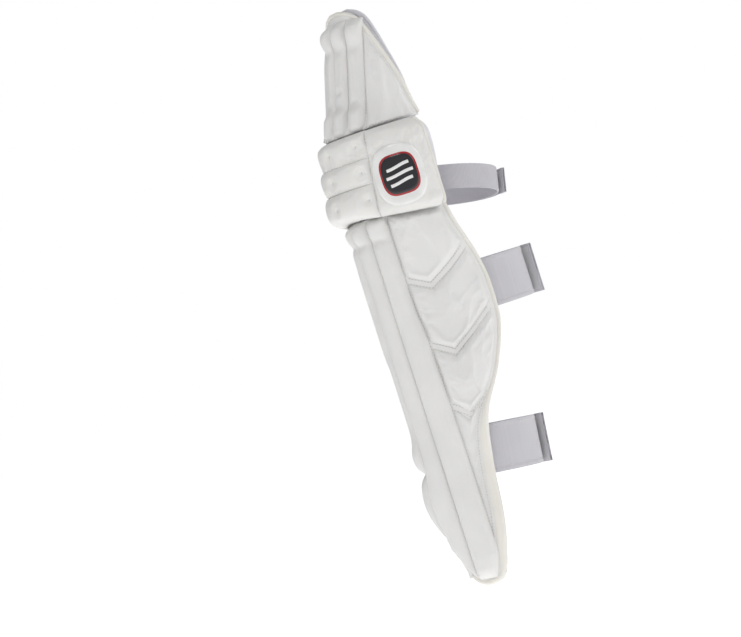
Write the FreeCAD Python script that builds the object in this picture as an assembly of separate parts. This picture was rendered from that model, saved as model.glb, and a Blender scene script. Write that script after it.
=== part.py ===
"""Cricket leg pad for the left leg, worn with the knee a little bent.

Frame: millimetres, +Z up along the shin, the canes face -Y, the outer wing is on +X and the
leg channel opens to +Y. The origin is on the leg axis, level with the lowest point of the toe.
Angles round the leg start at the front (-Y) and are positive towards +X.
"""
import FreeCAD, Part
import math
import os

from FreeCAD import Vector

# ---------------------------------------------------------------- driving dimensions
LINING = (56.0, 57.5)            # inner and outer radius of each layer of the shin
CORE = (57.5, 68.0)
SHELL = (68.0, 72.0)
PANEL_PROUD = 6.0                # how far the quilted wing panels stand off the shell
CANE_EDGE = 73.0                 # radius at the sewn groove between two canes
CANE_CREST = 82.0
CANE_PITCH = 26.0                # degrees round the leg for one cane
CANE_CENTRE = -2.5               # the canes sit slightly to the inner side
ROD_RADIUS = 2.5
ROD_RING = 76.0                  # radius of the circle the cane rods stand on
ROD_SPREAD = 7.0                 # degrees from the middle of a cane to its outer rods
ROD_COVER = 18.0                 # the rods stop this far inside the pad's outline

SHIN_TOP = 469.0
PANEL_START = 1.0                # degrees between the last cane and the first wing panel
PANEL_INSET = 8.5                # from the outline to the raised panels and canes
PANEL_TOP = (465.0, 461.0)       # upper edge of the top panel, at the cane seam and at the rear
LINING_INSET = 1.0               # the lining and the core stop short of the shell's edge
PIPING_WIDTH = 4.0
PIPING = (66.5, 73.5)
PIPING_LAP = 0.2                 # the piping reaches this far over the edge it binds
WING_REACH = 50.0                # every wing's wall goes back this far before it is trimmed
SEAM_GAP = 0.4                   # clearance between pieces that meet at a sewn seam
GROOVE_DEPTH = 1.0               # hollow behind a cane, so it seats on the round shell

KNEE_BOTTOM = 470.0              # seam heights at the front of the pad
KNEE_TOP = 572.0
KNEE_CORE = (57.5, 78.0)
KNEE_WING = (80.5, 90.0)
KNEE_SEAM = 38.0                 # angle of the seam between knee rolls and knee wings
ROLL_BASE = 78.4
CORE_ANGLE = 58.0                # the knee core covers the front of the knee, to this angle
ROLLS = {                        # name: (lower height, upper height, crest radius)
    "knee_roll_bottom": (474.0, 511.0, 100.0),
    "knee_roll_middle": (511.4, 541.0, 94.0),
    "knee_roll_top": (541.4, 571.5, 88.0),
}
ROLL_EDGE = 4.0                  # depth of the groove's flank at each side of a knee roll
TUFT_ANGLES = (-31.0, 0.0, 31.0)
TUFT_RADIUS = 2.2
TUFT_DEPTH = 3.0                 # from a roll's crest to the bottom of a tuft's pocket
TUFT_POCKET = 6.0                # length of the pocket, which opens outwards
TUFT_BUTTON = (2.1, 1.6)         # radius and thickness of the pulled-in button
CUP_INNER = (56.0, 66.0)         # knee cup round the front of the knee
CUP_SIDE = 79.8                  # outer radius of the cup's thick side pads
CUP_SIDE_ANGLE = 75.0            # where the cup's side pads start
CUP_REAR = 17.0
OUTER_KNEE_REAR = 1.0
INNER_KNEE_REAR = -10.0
WING_DROP = 12.0                 # the knee wing's lower edge slopes down to the rear
KNEE_BEAD_BELOW = 3.0            # the knee wing's bead is lower than its face by this much
WING_CORNER = (8.0, 14.0)        # cut across the knee wing's upper rear corner

BADGE_ANGLE = 60.0
BADGE_HEIGHT = 509.0
BADGE_PATCH = (32.0, 37.0, 1.6)      # half width, half height, thickness
BADGE_EMBLEM = (23.0, 25.0, 1.0)

PIVOT_Y = -72.0                  # both flex seams fold just behind the front face
KNEE_RELIEF = 13.5               # degrees cut from the knee's inner layers below, so it can flex
TOP_RELIEF = 18.5                # and above
RELIEF_GAP = (1.5, 2.8)          # clearance at the front of those cuts, below and above

TOP_LEAN = 17.5                  # the top hat leans back from the shin by this many degrees
TOP_HEIGHT = 158.0
TOP_LINER = (54.0, 56.5)
TOP_CORE = (56.5, 64.0)
TOP_SHELL = (64.0, 67.5)
TOP_LINER_PROUD = 11.0
TOP_PIPING = (63.0, 69.5)
THIGH_CREST = 76.0
THIGH_EDGE = 68.5
THIGH_PITCH = 20.0
THIGH_CENTRE = 11.0
THIGH_TOP_GAP = 9.0              # the vertical rolls stop short of the top hat's upper edge
TOP_PANEL_PROUD = 3.5

BOLSTER = (48.0, 55.7)
BOLSTER_ANGLES = (22.0, 46.0)
BOLSTER_Z = (210.0, 440.0)
INSTEP_ANGLES = (-14.0, 26.0)
INSTEP_Z = (62.0, 118.0)

STRAP_THICK = 2.2
STRAP_PLAY = 0.5                 # the strap is narrower than its ring by this at each side
ROOT_FRONT = 2.0                 # the sewn end of a strap starts this far behind the leg axis
ROOT_ANGLE = 18.0                # degrees that a sewn end follows the round of the pad
ROOT_LAP = 4.0                   # the sewn end runs on under the start of the loop
STRAP_ROOT_X = 54.7              # middle of the strap where it is sewn inside the wing
HOOK_THICK = 0.8
HOOK_LENGTH = 55.0
HOOK_INSET = 3.0                 # from the edge of the webbing to the edge of the hook tape
HOOK_START = 2.0                 # degrees from the tail's end to the hook tape
TAIL_CLEAR = 1.2                 # from the folded webbing to the root of the tail
PEEL_GAP = 0.4                   # gap left between a closed tail and the strap below it
RING_BAR = 1.8                   # half thickness of a ring's bars
RING_DEPTH = 15.0                # between the centres of the ring's two upright bars
RING_MARGIN = 3.0                # the ring stands above and below the webbing by this much
FOLD_PLAY = 0.1                  # between a ring's bar and the webbing folded round it

# rear edge of each wing as (y, z), from the top down to the toe
OUTER_EDGE = ((5.0, 470), (12.5, 436), (27.4, 395), (34.3, 361), (34.4, 321), (28.5, 293),
              (8.5, 252), (-23.0, 205), (-34.5, 150), (-41.0, 85), (-48.0, 43), (-58.0, 8), (-70.0, -1))
INNER_EDGE = ((-6.0, 470), (0.0, 436), (9.0, 395), (13.0, 361), (13.0, 321), (8.0, 290),
              (-8.0, 250), (-30.0, 205), (-38.0, 160), (-43.5, 110), (-52.0, 70), (-66.0, 30), (-80.0, 10))
TOE_EDGE = ((-62.0, 116), (-30.0, 60), (-18.0, 44), (-2.5, 22), (12.0, 6.7), (29.0, 0.0))

# chevron panels: (height at the cane seam, height at the point of the V, height at the rear edge)
CHEVRON_GAP = 9.0
CHEVRON_Y = (-58.0, -36.0)       # where the seam and the point of the V are
CHEVRONS = ((388.0, 374.0, 410.0), (305.0, 289.0, 332.0), (227.0, 210.0, 232.0))
PANEL_NAMES = ("wing_panel_top", "wing_panel_middle", "wing_panel_lower", "ankle_panel")

# top hat: rear edge of the outer wing as (y, height above the seam), in the top hat's own frame
TOP_EDGE = ((24.0, 0), (13.0, 21), (-1.0, 44), (-16.0, 73), (-37.0, 104), (-53.0, 130), (-64.0, 158))
TOP_INNER_SHORTER = 10.0         # the inner wing is this much narrower

TOP_ROOT = 60.0                  # the top hat is drawn from this far below its seam, then trimmed
WIDE = 200.0                     # large enough to reach past the whole pad


# ---------------------------------------------------------------- shape helpers
def place(angle, radius, z=0.0, centre_y=0.0):
    """Point at an angle round the leg."""
    a = math.radians(angle)
    return Vector(radius * math.sin(a), centre_y - radius * math.cos(a), z)


def lift(face, z0, z1):
    face.translate(Vector(0, 0, z0))
    return face.extrude(Vector(0, 0, z1 - z0))


def sector(radii, angles, z0, z1, centre_y=0.0):
    """Upright wall that follows a circle round the leg between two angles."""
    inner, outer = radii
    a0, a1 = angles
    mid = (a0 + a1) / 2
    corner = [place(a, r, 0, centre_y) for a, r in ((a0, outer), (a1, outer), (a1, inner), (a0, inner))]
    edges = [
        Part.Arc(corner[0], place(mid, outer, 0, centre_y), corner[1]).toShape(),
        Part.makeLine(corner[1], corner[2]),
        Part.Arc(corner[2], place(mid, inner, 0, centre_y), corner[3]).toShape(),
        Part.makeLine(corner[3], corner[0]),
    ]
    return lift(Part.Face(Part.Wire(edges)), z0, z1)


def side_wall(radii, side, y0, y1, z0, z1):
    """Flat part of a wing, straight back from the circle. side is +1 or -1."""
    inner, outer = radii
    x0 = min(side * inner, side * outer)
    return Part.makeBox(outer - inner, y1 - y0, z1 - z0, Vector(x0, y0, z0))


def horseshoe(radii, reach, z0, z1):
    """U-shaped wall round the leg, open to the rear; reach is how far its sides go back."""
    wall = sector(radii, (-90, 90), z0, z1)
    for side in (-1, 1):
        wall = wall.fuse(side_wall(radii, side, 0, reach, z0, z1))
    return wall.removeSplitter()


def curve_through(points):
    spline = Part.BSplineCurve()
    spline.interpolate(points)
    return spline.toShape()


def grown(points, across, grow):
    """Outline points moved outwards by grow; across is the direction that the outline is seen along."""
    moved = []
    for i, point in enumerate(points):
        before, after = points[max(i - 1, 0)], points[min(i + 1, len(points) - 1)]
        outward = (after - before).cross(across).normalize()
        moved.append(point + outward * grow)
    return moved


def outline_prism(edge, corners, direction):
    """Prism with one curved edge, closed by straight lines through the given corners."""
    corners = [edge[-1]] + list(corners) + [edge[0]]
    edges = [curve_through(edge)] + [Part.makeLine(a, b) for a, b in zip(corners, corners[1:])]
    return Part.Face(Part.Wire(edges)).extrude(direction)


def side_prism(edge_points, side, grow, limit):
    """Everything in front of a wing's rear edge, on one side of the pad, as far as the height limit."""
    edge = grown([Vector(0, y, z) for y, z in edge_points], Vector(-1, 0, 0), grow)
    corners = [Vector(0, -WIDE, edge[-1].z), Vector(0, -WIDE, limit), Vector(0, edge[0].y, limit)]
    return outline_prism(edge, corners, Vector(side * WIDE, 0, 0))


def side_window(points, side):
    """Prism across one side of the pad, through a polygon of (y, z) points."""
    corners = [Vector(0, y, z) for y, z in points]
    return Part.Face(Part.makePolygon(corners + corners[:1])).extrude(Vector(side * WIDE, 0, 0))


def shin_outline(grow=0.0):
    """Everything inside the pad's outline, grown outwards by grow."""
    far = WIDE * 3
    halves = side_prism(OUTER_EDGE, 1, grow, far).fuse(side_prism(INNER_EDGE, -1, grow, far))
    toe = grown([Vector(x, -WIDE, z) for x, z in TOE_EDGE], Vector(0, 1, 0), grow)
    corners = [Vector(WIDE, -WIDE, toe[-1].z), Vector(WIDE, -WIDE, far),
               Vector(-WIDE, -WIDE, far), Vector(-WIDE, -WIDE, toe[0].z + WIDE)]
    return halves.common(outline_prism(toe, corners, Vector(0, WIDE * 2, 0)))


def below_slope(y, z, degrees, above=False):
    """Half space under (or above) a plane that passes through (y, z) and rises to the rear."""
    size = WIDE * 8
    block = Part.makeBox(size, size, size, Vector(-size / 2, -size / 2, 0 if above else -size))
    block.rotate(Vector(0, 0, 0), Vector(1, 0, 0), degrees)
    block.translate(Vector(0, y, z))
    return block


def lean_back(shape):
    """From the top hat's own upright frame to where it leans."""
    moved = shape.copy()
    moved.rotate(Vector(0, PIVOT_Y, KNEE_TOP), Vector(1, 0, 0), -TOP_LEAN)
    return moved


def bulging_cane(centre, pitch, edge, crest, z0, z1):
    """Upright half-round bolster on the front of the pad."""
    half = (pitch - SEAM_GAP) / 2
    left, right = place(centre - half, edge), place(centre + half, edge)
    base = Part.Arc(right, place(centre, edge - GROOVE_DEPTH), left).toShape()
    bulge = Part.Arc(left, place(centre, crest), right).toShape()
    return lift(Part.Face(Part.Wire([bulge, base])), z0, z1)


# ---------------------------------------------------------------- shin
def make_shin(parts):
    outline = shin_outline(-PIPING_WIDTH)
    inside = shin_outline(-PIPING_WIDTH - LINING_INSET)
    parts["shin_lining"] = horseshoe(LINING, WING_REACH, 0, SHIN_TOP).common(inside)
    parts["shin_core"] = horseshoe(CORE, WING_REACH, 0, SHIN_TOP).common(inside)
    parts["shin_shell"] = horseshoe(SHELL, WING_REACH, 0, SHIN_TOP).common(outline)
    rim = shin_outline().cut(shin_outline(PIPING_LAP - PIPING_WIDTH))
    parts["shin_piping"] = horseshoe(PIPING, WING_REACH, 0, SHIN_TOP).common(rim)

    rods = []
    inner_region = shin_outline(-PANEL_INSET)
    for name, step in (("inner", -1), ("middle", 0), ("outer", 1)):
        centre = CANE_CENTRE + step * CANE_PITCH
        cane = bulging_cane(centre, CANE_PITCH, CANE_EDGE, CANE_CREST, 0, SHIN_TOP)
        cane = cane.common(inner_region)
        for offset in (-ROD_SPREAD, 0, ROD_SPREAD):
            spot = place(centre + offset, ROD_RING)
            rod = Part.makeCylinder(ROD_RADIUS, SHIN_TOP - ROD_COVER, spot).common(shin_outline(-ROD_COVER))
            cane = cane.cut(rod)
            rods.append(rod)
        parts["shin_cane_" + name] = cane
    parts["cane_rods"] = Part.makeCompound(rods)
    make_wing_panels(parts, inner_region)


def chevron_polygon(heights, shift):
    """Rear-opening V line across a wing as (y, z) points."""
    seam, point, rear = heights
    seam_y, point_y = CHEVRON_Y
    rise = (rear - point) / (OUTER_EDGE[3][0] - point_y)
    return [(-SHELL[1] - PANEL_PROUD, seam + shift), (seam_y, seam + shift), (point_y, point + shift),
            (WING_REACH, point + shift + rise * (WING_REACH - point_y))]


def make_wing_panels(parts, inner_region):
    radii = (SHELL[1], SHELL[1] + PANEL_PROUD)
    front_y = -radii[1]
    high, low = PANEL_TOP
    top_line = [(front_y, high), (CHEVRON_Y[0], high), (CHEVRON_Y[1], low), (WING_REACH, low)]
    lowest = [(front_y, 0.0), (WING_REACH, 0.0)]
    tops = [top_line] + [chevron_polygon(h, -CHEVRON_GAP) for h in CHEVRONS]
    bottoms = [chevron_polygon(h, 0) for h in CHEVRONS] + [lowest]
    for side_name, side in (("outer", 1), ("inner", -1)):
        start = CANE_CENTRE + side * (CANE_PITCH * 1.5 + PANEL_START)
        angles = (start, 90) if side > 0 else (-90, start)
        skin = sector(radii, angles, 0, SHIN_TOP).fuse(side_wall(radii, side, 0, WING_REACH, 0, SHIN_TOP))
        skin = skin.removeSplitter().common(inner_region)
        for name, top, bottom in zip(PANEL_NAMES, tops, bottoms):
            parts[side_name + "_" + name] = skin.common(side_window(top + bottom[::-1], side))


def make_inner_padding(parts):
    low, high = BOLSTER_ANGLES
    parts["outer_bolster"] = sector(BOLSTER, (low, high), *BOLSTER_Z)
    parts["inner_bolster"] = sector(BOLSTER, (-high, -low), *BOLSTER_Z)
    parts["instep_pad"] = sector(BOLSTER, INSTEP_ANGLES, *INSTEP_Z)


# ---------------------------------------------------------------- knee
def knee_roll(z0, z1, crest):
    """Horizontal bolster across the knee: a rounded profile turned round the leg."""
    shoulder = ROLL_BASE + ROLL_EDGE
    z_mid = (z0 + z1) / 2
    edges = [
        Part.makeLine(Vector(shoulder, 0, z1), Vector(ROLL_BASE, 0, z1)),
        Part.makeLine(Vector(ROLL_BASE, 0, z1), Vector(ROLL_BASE, 0, z0)),
        Part.makeLine(Vector(ROLL_BASE, 0, z0), Vector(shoulder, 0, z0)),
        Part.Arc(Vector(shoulder, 0, z0), Vector(crest, 0, z_mid), Vector(shoulder, 0, z1)).toShape(),
    ]
    face = Part.Face(Part.Wire(edges))
    span = 2 * KNEE_SEAM - SEAM_GAP
    roll = face.revolve(Vector(0, 0, 0), Vector(0, 0, 1), span)
    roll.rotate(Vector(0, 0, 0), Vector(0, 0, 1), -90 - span / 2)
    return roll


def relieved(shape):
    """Cut the knee's inner layers back above and below, to leave room for both flex seams."""
    gap_low, gap_high = RELIEF_GAP
    front = -KNEE_CORE[1]
    low = below_slope(front, KNEE_BOTTOM + gap_low, KNEE_RELIEF, above=True)
    high = below_slope(front, KNEE_TOP - gap_high, -TOP_RELIEF)
    return shape.common(low).common(high)


def make_knee(parts):
    z0, z1 = KNEE_BOTTOM - WING_DROP * 2, KNEE_TOP
    front_half = sector(KNEE_CORE, (-CORE_ANGLE, CORE_ANGLE), z0, z1)
    cup = horseshoe(CUP_INNER, CUP_REAR, z0, z1)
    for side in (-1, 1):
        pad = (CUP_INNER[1] - SEAM_GAP, CUP_SIDE)
        side_angles = (CUP_SIDE_ANGLE, 90) if side > 0 else (-90, -CUP_SIDE_ANGLE)
        thick = sector(pad, side_angles, z0, z1).fuse(side_wall(pad, side, 0, CUP_REAR, z0, z1))
        cup = cup.fuse(thick)
    parts["knee_cup"] = relieved(cup.removeSplitter())
    parts["knee_core"] = relieved(front_half.cut(cup))

    tufts = []
    for name, (low, high, crest) in ROLLS.items():
        roll = knee_roll(low, high, crest)
        for angle in TUFT_ANGLES:
            start, out = place(angle, crest - TUFT_DEPTH, (low + high) / 2), place(angle, 1.0)
            button_radius, button_thick = TUFT_BUTTON
            tufts.append(Part.makeCylinder(button_radius, button_thick, start, out))
            roll = roll.cut(Part.makeCylinder(TUFT_RADIUS, TUFT_POCKET, start, out))
        parts[name] = roll
    parts["knee_tufts"] = Part.makeCompound(tufts)

    for name, side, rear in (("outer", 1, OUTER_KNEE_REAR), ("inner", -1, INNER_KNEE_REAR)):
        make_knee_wing(parts, name, side, rear, z0, z1)


def make_knee_wing(parts, name, side, rear, z0, z1):
    angles = (KNEE_SEAM + SEAM_GAP, 90) if side > 0 else (-90, -KNEE_SEAM - SEAM_GAP)
    wing = sector(KNEE_WING, angles, z0, z1).fuse(side_wall(KNEE_WING, side, 0, CUP_REAR, z0, z1))
    low, high = KNEE_BOTTOM - WING_DROP, KNEE_TOP - SEAM_GAP
    corner_y, corner_z = WING_CORNER
    front_y, slope_y = -KNEE_WING[1], CHEVRON_Y[0]
    window = [(front_y, KNEE_BOTTOM), (slope_y, KNEE_BOTTOM), (rear, low),
              (rear, high - corner_z), (rear - corner_y, high), (front_y, high)]
    parts["knee_wing_" + name] = wing.removeSplitter().common(side_window(window, side))
    bound = rear + PIPING_WIDTH
    strip = [(rear + SEAM_GAP, low), (bound, low), (bound, high - corner_z - PIPING_WIDTH),
             (rear + SEAM_GAP, high - corner_z)]
    bead = side_wall((KNEE_WING[0], KNEE_WING[1] - KNEE_BEAD_BELOW), side, -WIDE / 2, WIDE / 2, z0, z1)
    parts["knee_piping_" + name] = bead.common(side_window(strip, side))


def curved_plate(side, half_w, half_h, r_in, r_out):
    """Oval plate that follows the knee wing's curve."""
    ellipse = Part.Ellipse(Vector(0, 0, 0), half_h, half_w).toShape()
    column = Part.Face(Part.Wire([ellipse])).extrude(Vector(0, 0, WIDE))
    column.rotate(Vector(0, 0, 0), Vector(0, 1, 0), -90)
    column.rotate(Vector(0, 0, 0), Vector(0, 0, 1), 90)
    column.rotate(Vector(0, 0, 0), Vector(0, 0, 1), side * BADGE_ANGLE)
    column.translate(Vector(0, 0, BADGE_HEIGHT))
    if side * column.CenterOfMass.x < 0:
        column.rotate(Vector(0, 0, BADGE_HEIGHT), Vector(0, 0, 1), 180)
    wall = horseshoe((r_in, r_out), WING_REACH, BADGE_HEIGHT - half_h, BADGE_HEIGHT + half_h)
    return wall.common(column)


def make_badges(parts):
    for name, side in (("outer", 1), ("inner", -1)):
        half_w, half_h, thick = BADGE_PATCH
        face = KNEE_WING[1]
        parts["badge_patch_" + name] = curved_plate(side, half_w, half_h, face, face + thick)
        emblem_w, emblem_h, emblem_thick = BADGE_EMBLEM
        face += thick
        parts["badge_emblem_" + name] = curved_plate(side, emblem_w, emblem_h, face, face + emblem_thick)


# ---------------------------------------------------------------- top hat
def top_outline(grow=0.0):
    """The top hat's outline in its own upright frame: a sloping rear edge on each side."""
    halves = []
    for side, shorter in ((1, 0.0), (-1, TOP_INNER_SHORTER)):
        edge = [(y - shorter, KNEE_TOP + h) for y, h in TOP_EDGE]
        halves.append(side_prism(edge, side, -grow, 0.0))
    return halves[0].fuse(halves[1])


def make_top_hat(parts):
    z0, z1 = KNEE_TOP - TOP_ROOT, KNEE_TOP + TOP_HEIGHT + TOP_ROOT
    seat = below_slope(0, KNEE_TOP + SEAM_GAP, 0, above=True)
    outline = top_outline(-PIPING_WIDTH)

    def finish(shape):
        return lean_back(shape).common(seat)

    def layer(radii, trim):
        return finish(horseshoe(radii, WING_REACH, z0, z1).common(trim))

    parts["top_liner"] = layer(TOP_LINER, top_outline(TOP_LINER_PROUD))
    parts["top_core"] = layer(TOP_CORE, top_outline(-PIPING_WIDTH - LINING_INSET))
    parts["top_shell"] = layer(TOP_SHELL, outline)
    rim = top_outline().cut(top_outline(PIPING_LAP - PIPING_WIDTH))
    parts["top_piping"] = layer(TOP_PIPING, rim)

    roll_top = KNEE_TOP + TOP_HEIGHT - THIGH_TOP_GAP
    for name, step in (("inner", -1), ("middle", 0), ("outer", 1)):
        centre = THIGH_CENTRE + step * THIGH_PITCH
        roll = bulging_cane(centre, THIGH_PITCH, THIGH_EDGE, THIGH_CREST, z0, roll_top)
        parts["thigh_roll_" + name] = finish(roll.common(outline))

    radii = (TOP_SHELL[1], TOP_SHELL[1] + TOP_PANEL_PROUD)
    inset = top_outline(-PANEL_INSET)
    for name, side in (("outer", 1), ("inner", -1)):
        start = THIGH_CENTRE + side * (THIGH_PITCH * 1.5 + PANEL_START)
        angles = (start, 90) if side > 0 else (-90, start)
        skin = sector(radii, angles, z0, z1).fuse(side_wall(radii, side, 0, WING_REACH, z0, z1))
        parts["top_wing_" + name] = finish(skin.removeSplitter().common(inset))


# ---------------------------------------------------------------- straps
class Loop:
    """A strap's path seen from above: sewn inside the outer wing, round the back of the leg."""

    def __init__(self, name, start, rear, ring_angle, tail_angle, z0, z1, slope, tab_rear):
        self.name, self.z0, self.z1, self.slope, self.tab_rear = name, z0, z1, slope, tab_rear
        x, y = start
        self.start = start
        self.centre = (rear * rear - x * x - y * y) / (2 * (rear - y))
        self.radius = rear - self.centre
        self.ring_angle, self.tail_angle = ring_angle, tail_angle
        self.start_angle = math.degrees(math.atan2(x, self.centre - y))

    def wall(self, r_in, r_out, angles, z0, z1):
        return sector((self.radius + r_in, self.radius + r_out), angles, z0, z1, self.centre)

    def at(self, angle, offset=0.0):
        return place(angle, self.radius + offset, 0, self.centre)

    def degrees(self, millimetres):
        return math.degrees(millimetres / self.radius)

    def tab_lap(self):
        """A level strap's sewn end stops where the loop starts; a sloping one needs the lap."""
        return ROOT_LAP if self.slope else 0.0

    def tilt(self, shape):
        """Slope the strap down to the rear, about the place where it is sewn."""
        shape.rotate(Vector(0, self.start[1], (self.z0 + self.z1) / 2), Vector(1, 0, 0), self.slope)
        return shape


LOOPS = (
    Loop("knee", (STRAP_ROOT_X, 21.0), 127.0, 264.0, 152.0, 477.0, 508.0, -13.7, 21.0),
    Loop("calf", (STRAP_ROOT_X, 36.0), 127.0, 262.0, 150.0, 321.0, 383.0, 0.0, 7.9),
    Loop("ankle", (49.2, -24.0), 69.5, 281.0, 150.0, 129.0, 190.0, -7.0, -24.0),
)


def ring_frame(loop):
    """Flat rectangular loop of plastic rod; its two upright bars follow the strap's circle."""
    low, high = loop.z0 - RING_MARGIN, loop.z1 + RING_MARGIN
    step = loop.degrees(RING_DEPTH)
    front, rear = loop.ring_angle + step, loop.ring_angle
    frame = None
    for angle in (front, rear):
        bar = Part.makeCylinder(RING_BAR, high - low, loop.at(angle) + Vector(0, 0, low))
        frame = bar if frame is None else frame.fuse(bar)
    across = loop.at(front) - loop.at(rear)
    for z in (low, high):
        start = loop.at(rear) + Vector(0, 0, z)
        frame = frame.fuse(Part.makeCylinder(RING_BAR, across.Length, start, across))
        for angle in (front, rear):
            frame = frame.fuse(Part.makeSphere(RING_BAR, loop.at(angle) + Vector(0, 0, z)))
    return frame


def sleeve(loop, angle, z0, z1):
    """Strap folded round one of the ring's bars."""
    spot = loop.at(angle) + Vector(0, 0, z0)
    inner = RING_BAR + FOLD_PLAY
    outer = Part.makeCylinder(inner + STRAP_THICK, z1 - z0, spot)
    return outer.cut(Part.makeCylinder(inner, z1 - z0, spot))


def make_strap(parts, loop):
    half = STRAP_THICK / 2
    z0, z1 = loop.z0 + STRAP_PLAY, loop.z1 - STRAP_PLAY
    fold = loop.degrees(RING_BAR + STRAP_THICK / 2)
    rear_bar = loop.ring_angle
    front_bar = rear_bar + loop.degrees(RING_DEPTH)

    strap = loop.wall(-half, half, (loop.start_angle, rear_bar - fold), z0, z1)
    strap = strap.fuse(sleeve(loop, rear_bar, z0, z1))
    parts[loop.name + "_ring"] = ring_frame(loop)

    root_radii = (STRAP_ROOT_X - half, STRAP_ROOT_X + half)
    tab = sleeve(loop, front_bar, z0, z1)
    if loop.start[1] > 0:
        root = side_wall(root_radii, 1, ROOT_FRONT, loop.start[1] + ROOT_LAP, z0, z1)
        tab_root = side_wall(root_radii, -1, 0, loop.tab_rear + loop.tab_lap(), z0, z1)
        tab_root = tab_root.fuse(sector(root_radii, (-90, ROOT_ANGLE - 90), z0, z1))
        run = loop.at(front_bar + fold)
        tab = tab.fuse(straight_band(Vector(-STRAP_ROOT_X, loop.tab_rear, 0), run, z0, z1))
    else:
        angle = math.degrees(math.atan2(loop.start[0], -loop.start[1]))
        end = angle + loop.degrees(ROOT_LAP)
        root = sector(root_radii, (angle - ROOT_ANGLE, end), z0, z1)
        tab_root = sector(root_radii, (-end, ROOT_ANGLE - angle), z0, z1)
        tab = tab.fuse(loop.wall(-half, half, (front_bar + fold, 360 - loop.start_angle), z0, z1))
    parts[loop.name + "_strap"] = loop.tilt(strap).fuse(root)
    parts[loop.name + "_ring_tab"] = loop.tilt(tab).fuse(tab_root)

    lap = half + PEEL_GAP + 2 * HOOK_THICK
    clear = loop.degrees(RING_BAR + STRAP_THICK + TAIL_CLEAR)
    tail = loop.wall(lap, lap + STRAP_THICK, (loop.tail_angle, rear_bar - clear), z0, z1)
    parts[loop.name + "_strap_tail"] = tail
    patch = (loop.tail_angle + HOOK_START, loop.tail_angle + loop.degrees(HOOK_LENGTH))
    z0, z1 = z0 + HOOK_INSET, z1 - HOOK_INSET
    parts[loop.name + "_hook_patch"] = loop.wall(lap - HOOK_THICK, lap, patch, z0, z1)
    parts[loop.name + "_loop_patch"] = loop.wall(half, half + HOOK_THICK, patch, z0, z1)
    for piece in ("ring", "strap_tail", "hook_patch", "loop_patch"):
        loop.tilt(parts[loop.name + "_" + piece])


def straight_band(start, end, z0, z1):
    """Flat strip of webbing between two places, seen from above."""
    along = end - start
    side = Vector(-along.y, along.x, 0).normalize() * (STRAP_THICK / 2)
    corners = [start + side, end + side, end - side, start - side]
    return lift(Part.Face(Part.makePolygon(corners + corners[:1])), z0, z1)


# ---------------------------------------------------------------- build
def main():
    parts = {}
    make_shin(parts)
    make_inner_padding(parts)
    make_knee(parts)
    make_badges(parts)
    make_top_hat(parts)
    for loop in LOOPS:
        make_strap(parts, loop)
    os.makedirs("parts", exist_ok=True)
    for name, shape in parts.items():
        solids = shape.Solids
        whole = solids[0] if len(solids) == 1 else Part.makeCompound(solids)
        whole.exportStep("parts/" + name + ".step")
        print(name, len(solids), whole.isValid())


main()
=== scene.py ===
"""Looks of the cricket leg pad: sewn PU pillows, piping, stitching, textile lining and straps."""
import math

import bmesh
import bpy
import numpy as np
from mathutils import Matrix, Vector


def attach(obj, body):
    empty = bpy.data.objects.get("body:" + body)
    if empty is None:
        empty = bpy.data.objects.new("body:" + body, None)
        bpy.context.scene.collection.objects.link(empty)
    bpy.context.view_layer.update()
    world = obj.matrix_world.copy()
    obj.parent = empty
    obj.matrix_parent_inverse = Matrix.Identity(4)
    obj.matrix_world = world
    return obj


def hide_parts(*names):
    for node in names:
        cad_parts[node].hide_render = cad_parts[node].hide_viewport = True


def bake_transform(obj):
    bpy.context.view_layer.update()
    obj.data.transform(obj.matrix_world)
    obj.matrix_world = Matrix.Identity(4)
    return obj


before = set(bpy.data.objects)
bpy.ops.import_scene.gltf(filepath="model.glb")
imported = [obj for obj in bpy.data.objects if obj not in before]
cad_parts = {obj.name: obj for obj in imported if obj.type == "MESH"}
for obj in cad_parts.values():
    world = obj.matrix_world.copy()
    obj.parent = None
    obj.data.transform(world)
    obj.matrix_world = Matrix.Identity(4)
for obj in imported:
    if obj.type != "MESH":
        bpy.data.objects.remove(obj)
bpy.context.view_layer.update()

MM = 0.001
HALF_PI = math.pi / 2

# ---------------------------------------------------------------- driving sizes, in millimetres
SHIN_R = 72.0                 # radius of the shin cover at the sewn channels
KNEE_R = 81.0
TOP_R = 67.5
LINING_R = 56.3
CUP_R = 56.0                  # radius of what is sewn on the inside: bolsters, knee cup and gussets
STRAP_R = 54.7                # radius at which the straps are sewn under the wings
CANE_RISE = 10.6
PANEL_RISE = 7.4

# outlines as (height, distance round the surface from the front)
OUTER_EDGE = [(470, 118), (436, 126), (395, 140), (361, 147), (321, 147), (293, 141), (252, 121),
              (205, 90.5), (150, 78), (85, 71), (43, 62), (8, 48.5), (0, 31)]
INNER_EDGE = [(470, -107), (436, -113), (395, -122), (361, -126), (321, -126), (290, -121), (250, -105),
              (205, -83), (160, -74.5), (110, -68), (60, -30), (44, -18), (22, -2.5), (6.7, 12), (0, 27)]
SEAM_OUTER = [(470, 43.5), (360, 44.5), (310, 48.5), (200, 51.5), (0, 54)]
SEAM_B = [(470, 14), (0, 15)]
SEAM_A = [(470, -18), (0, -18)]
SEAM_INNER = [(470, -49), (0, -49)]

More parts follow.
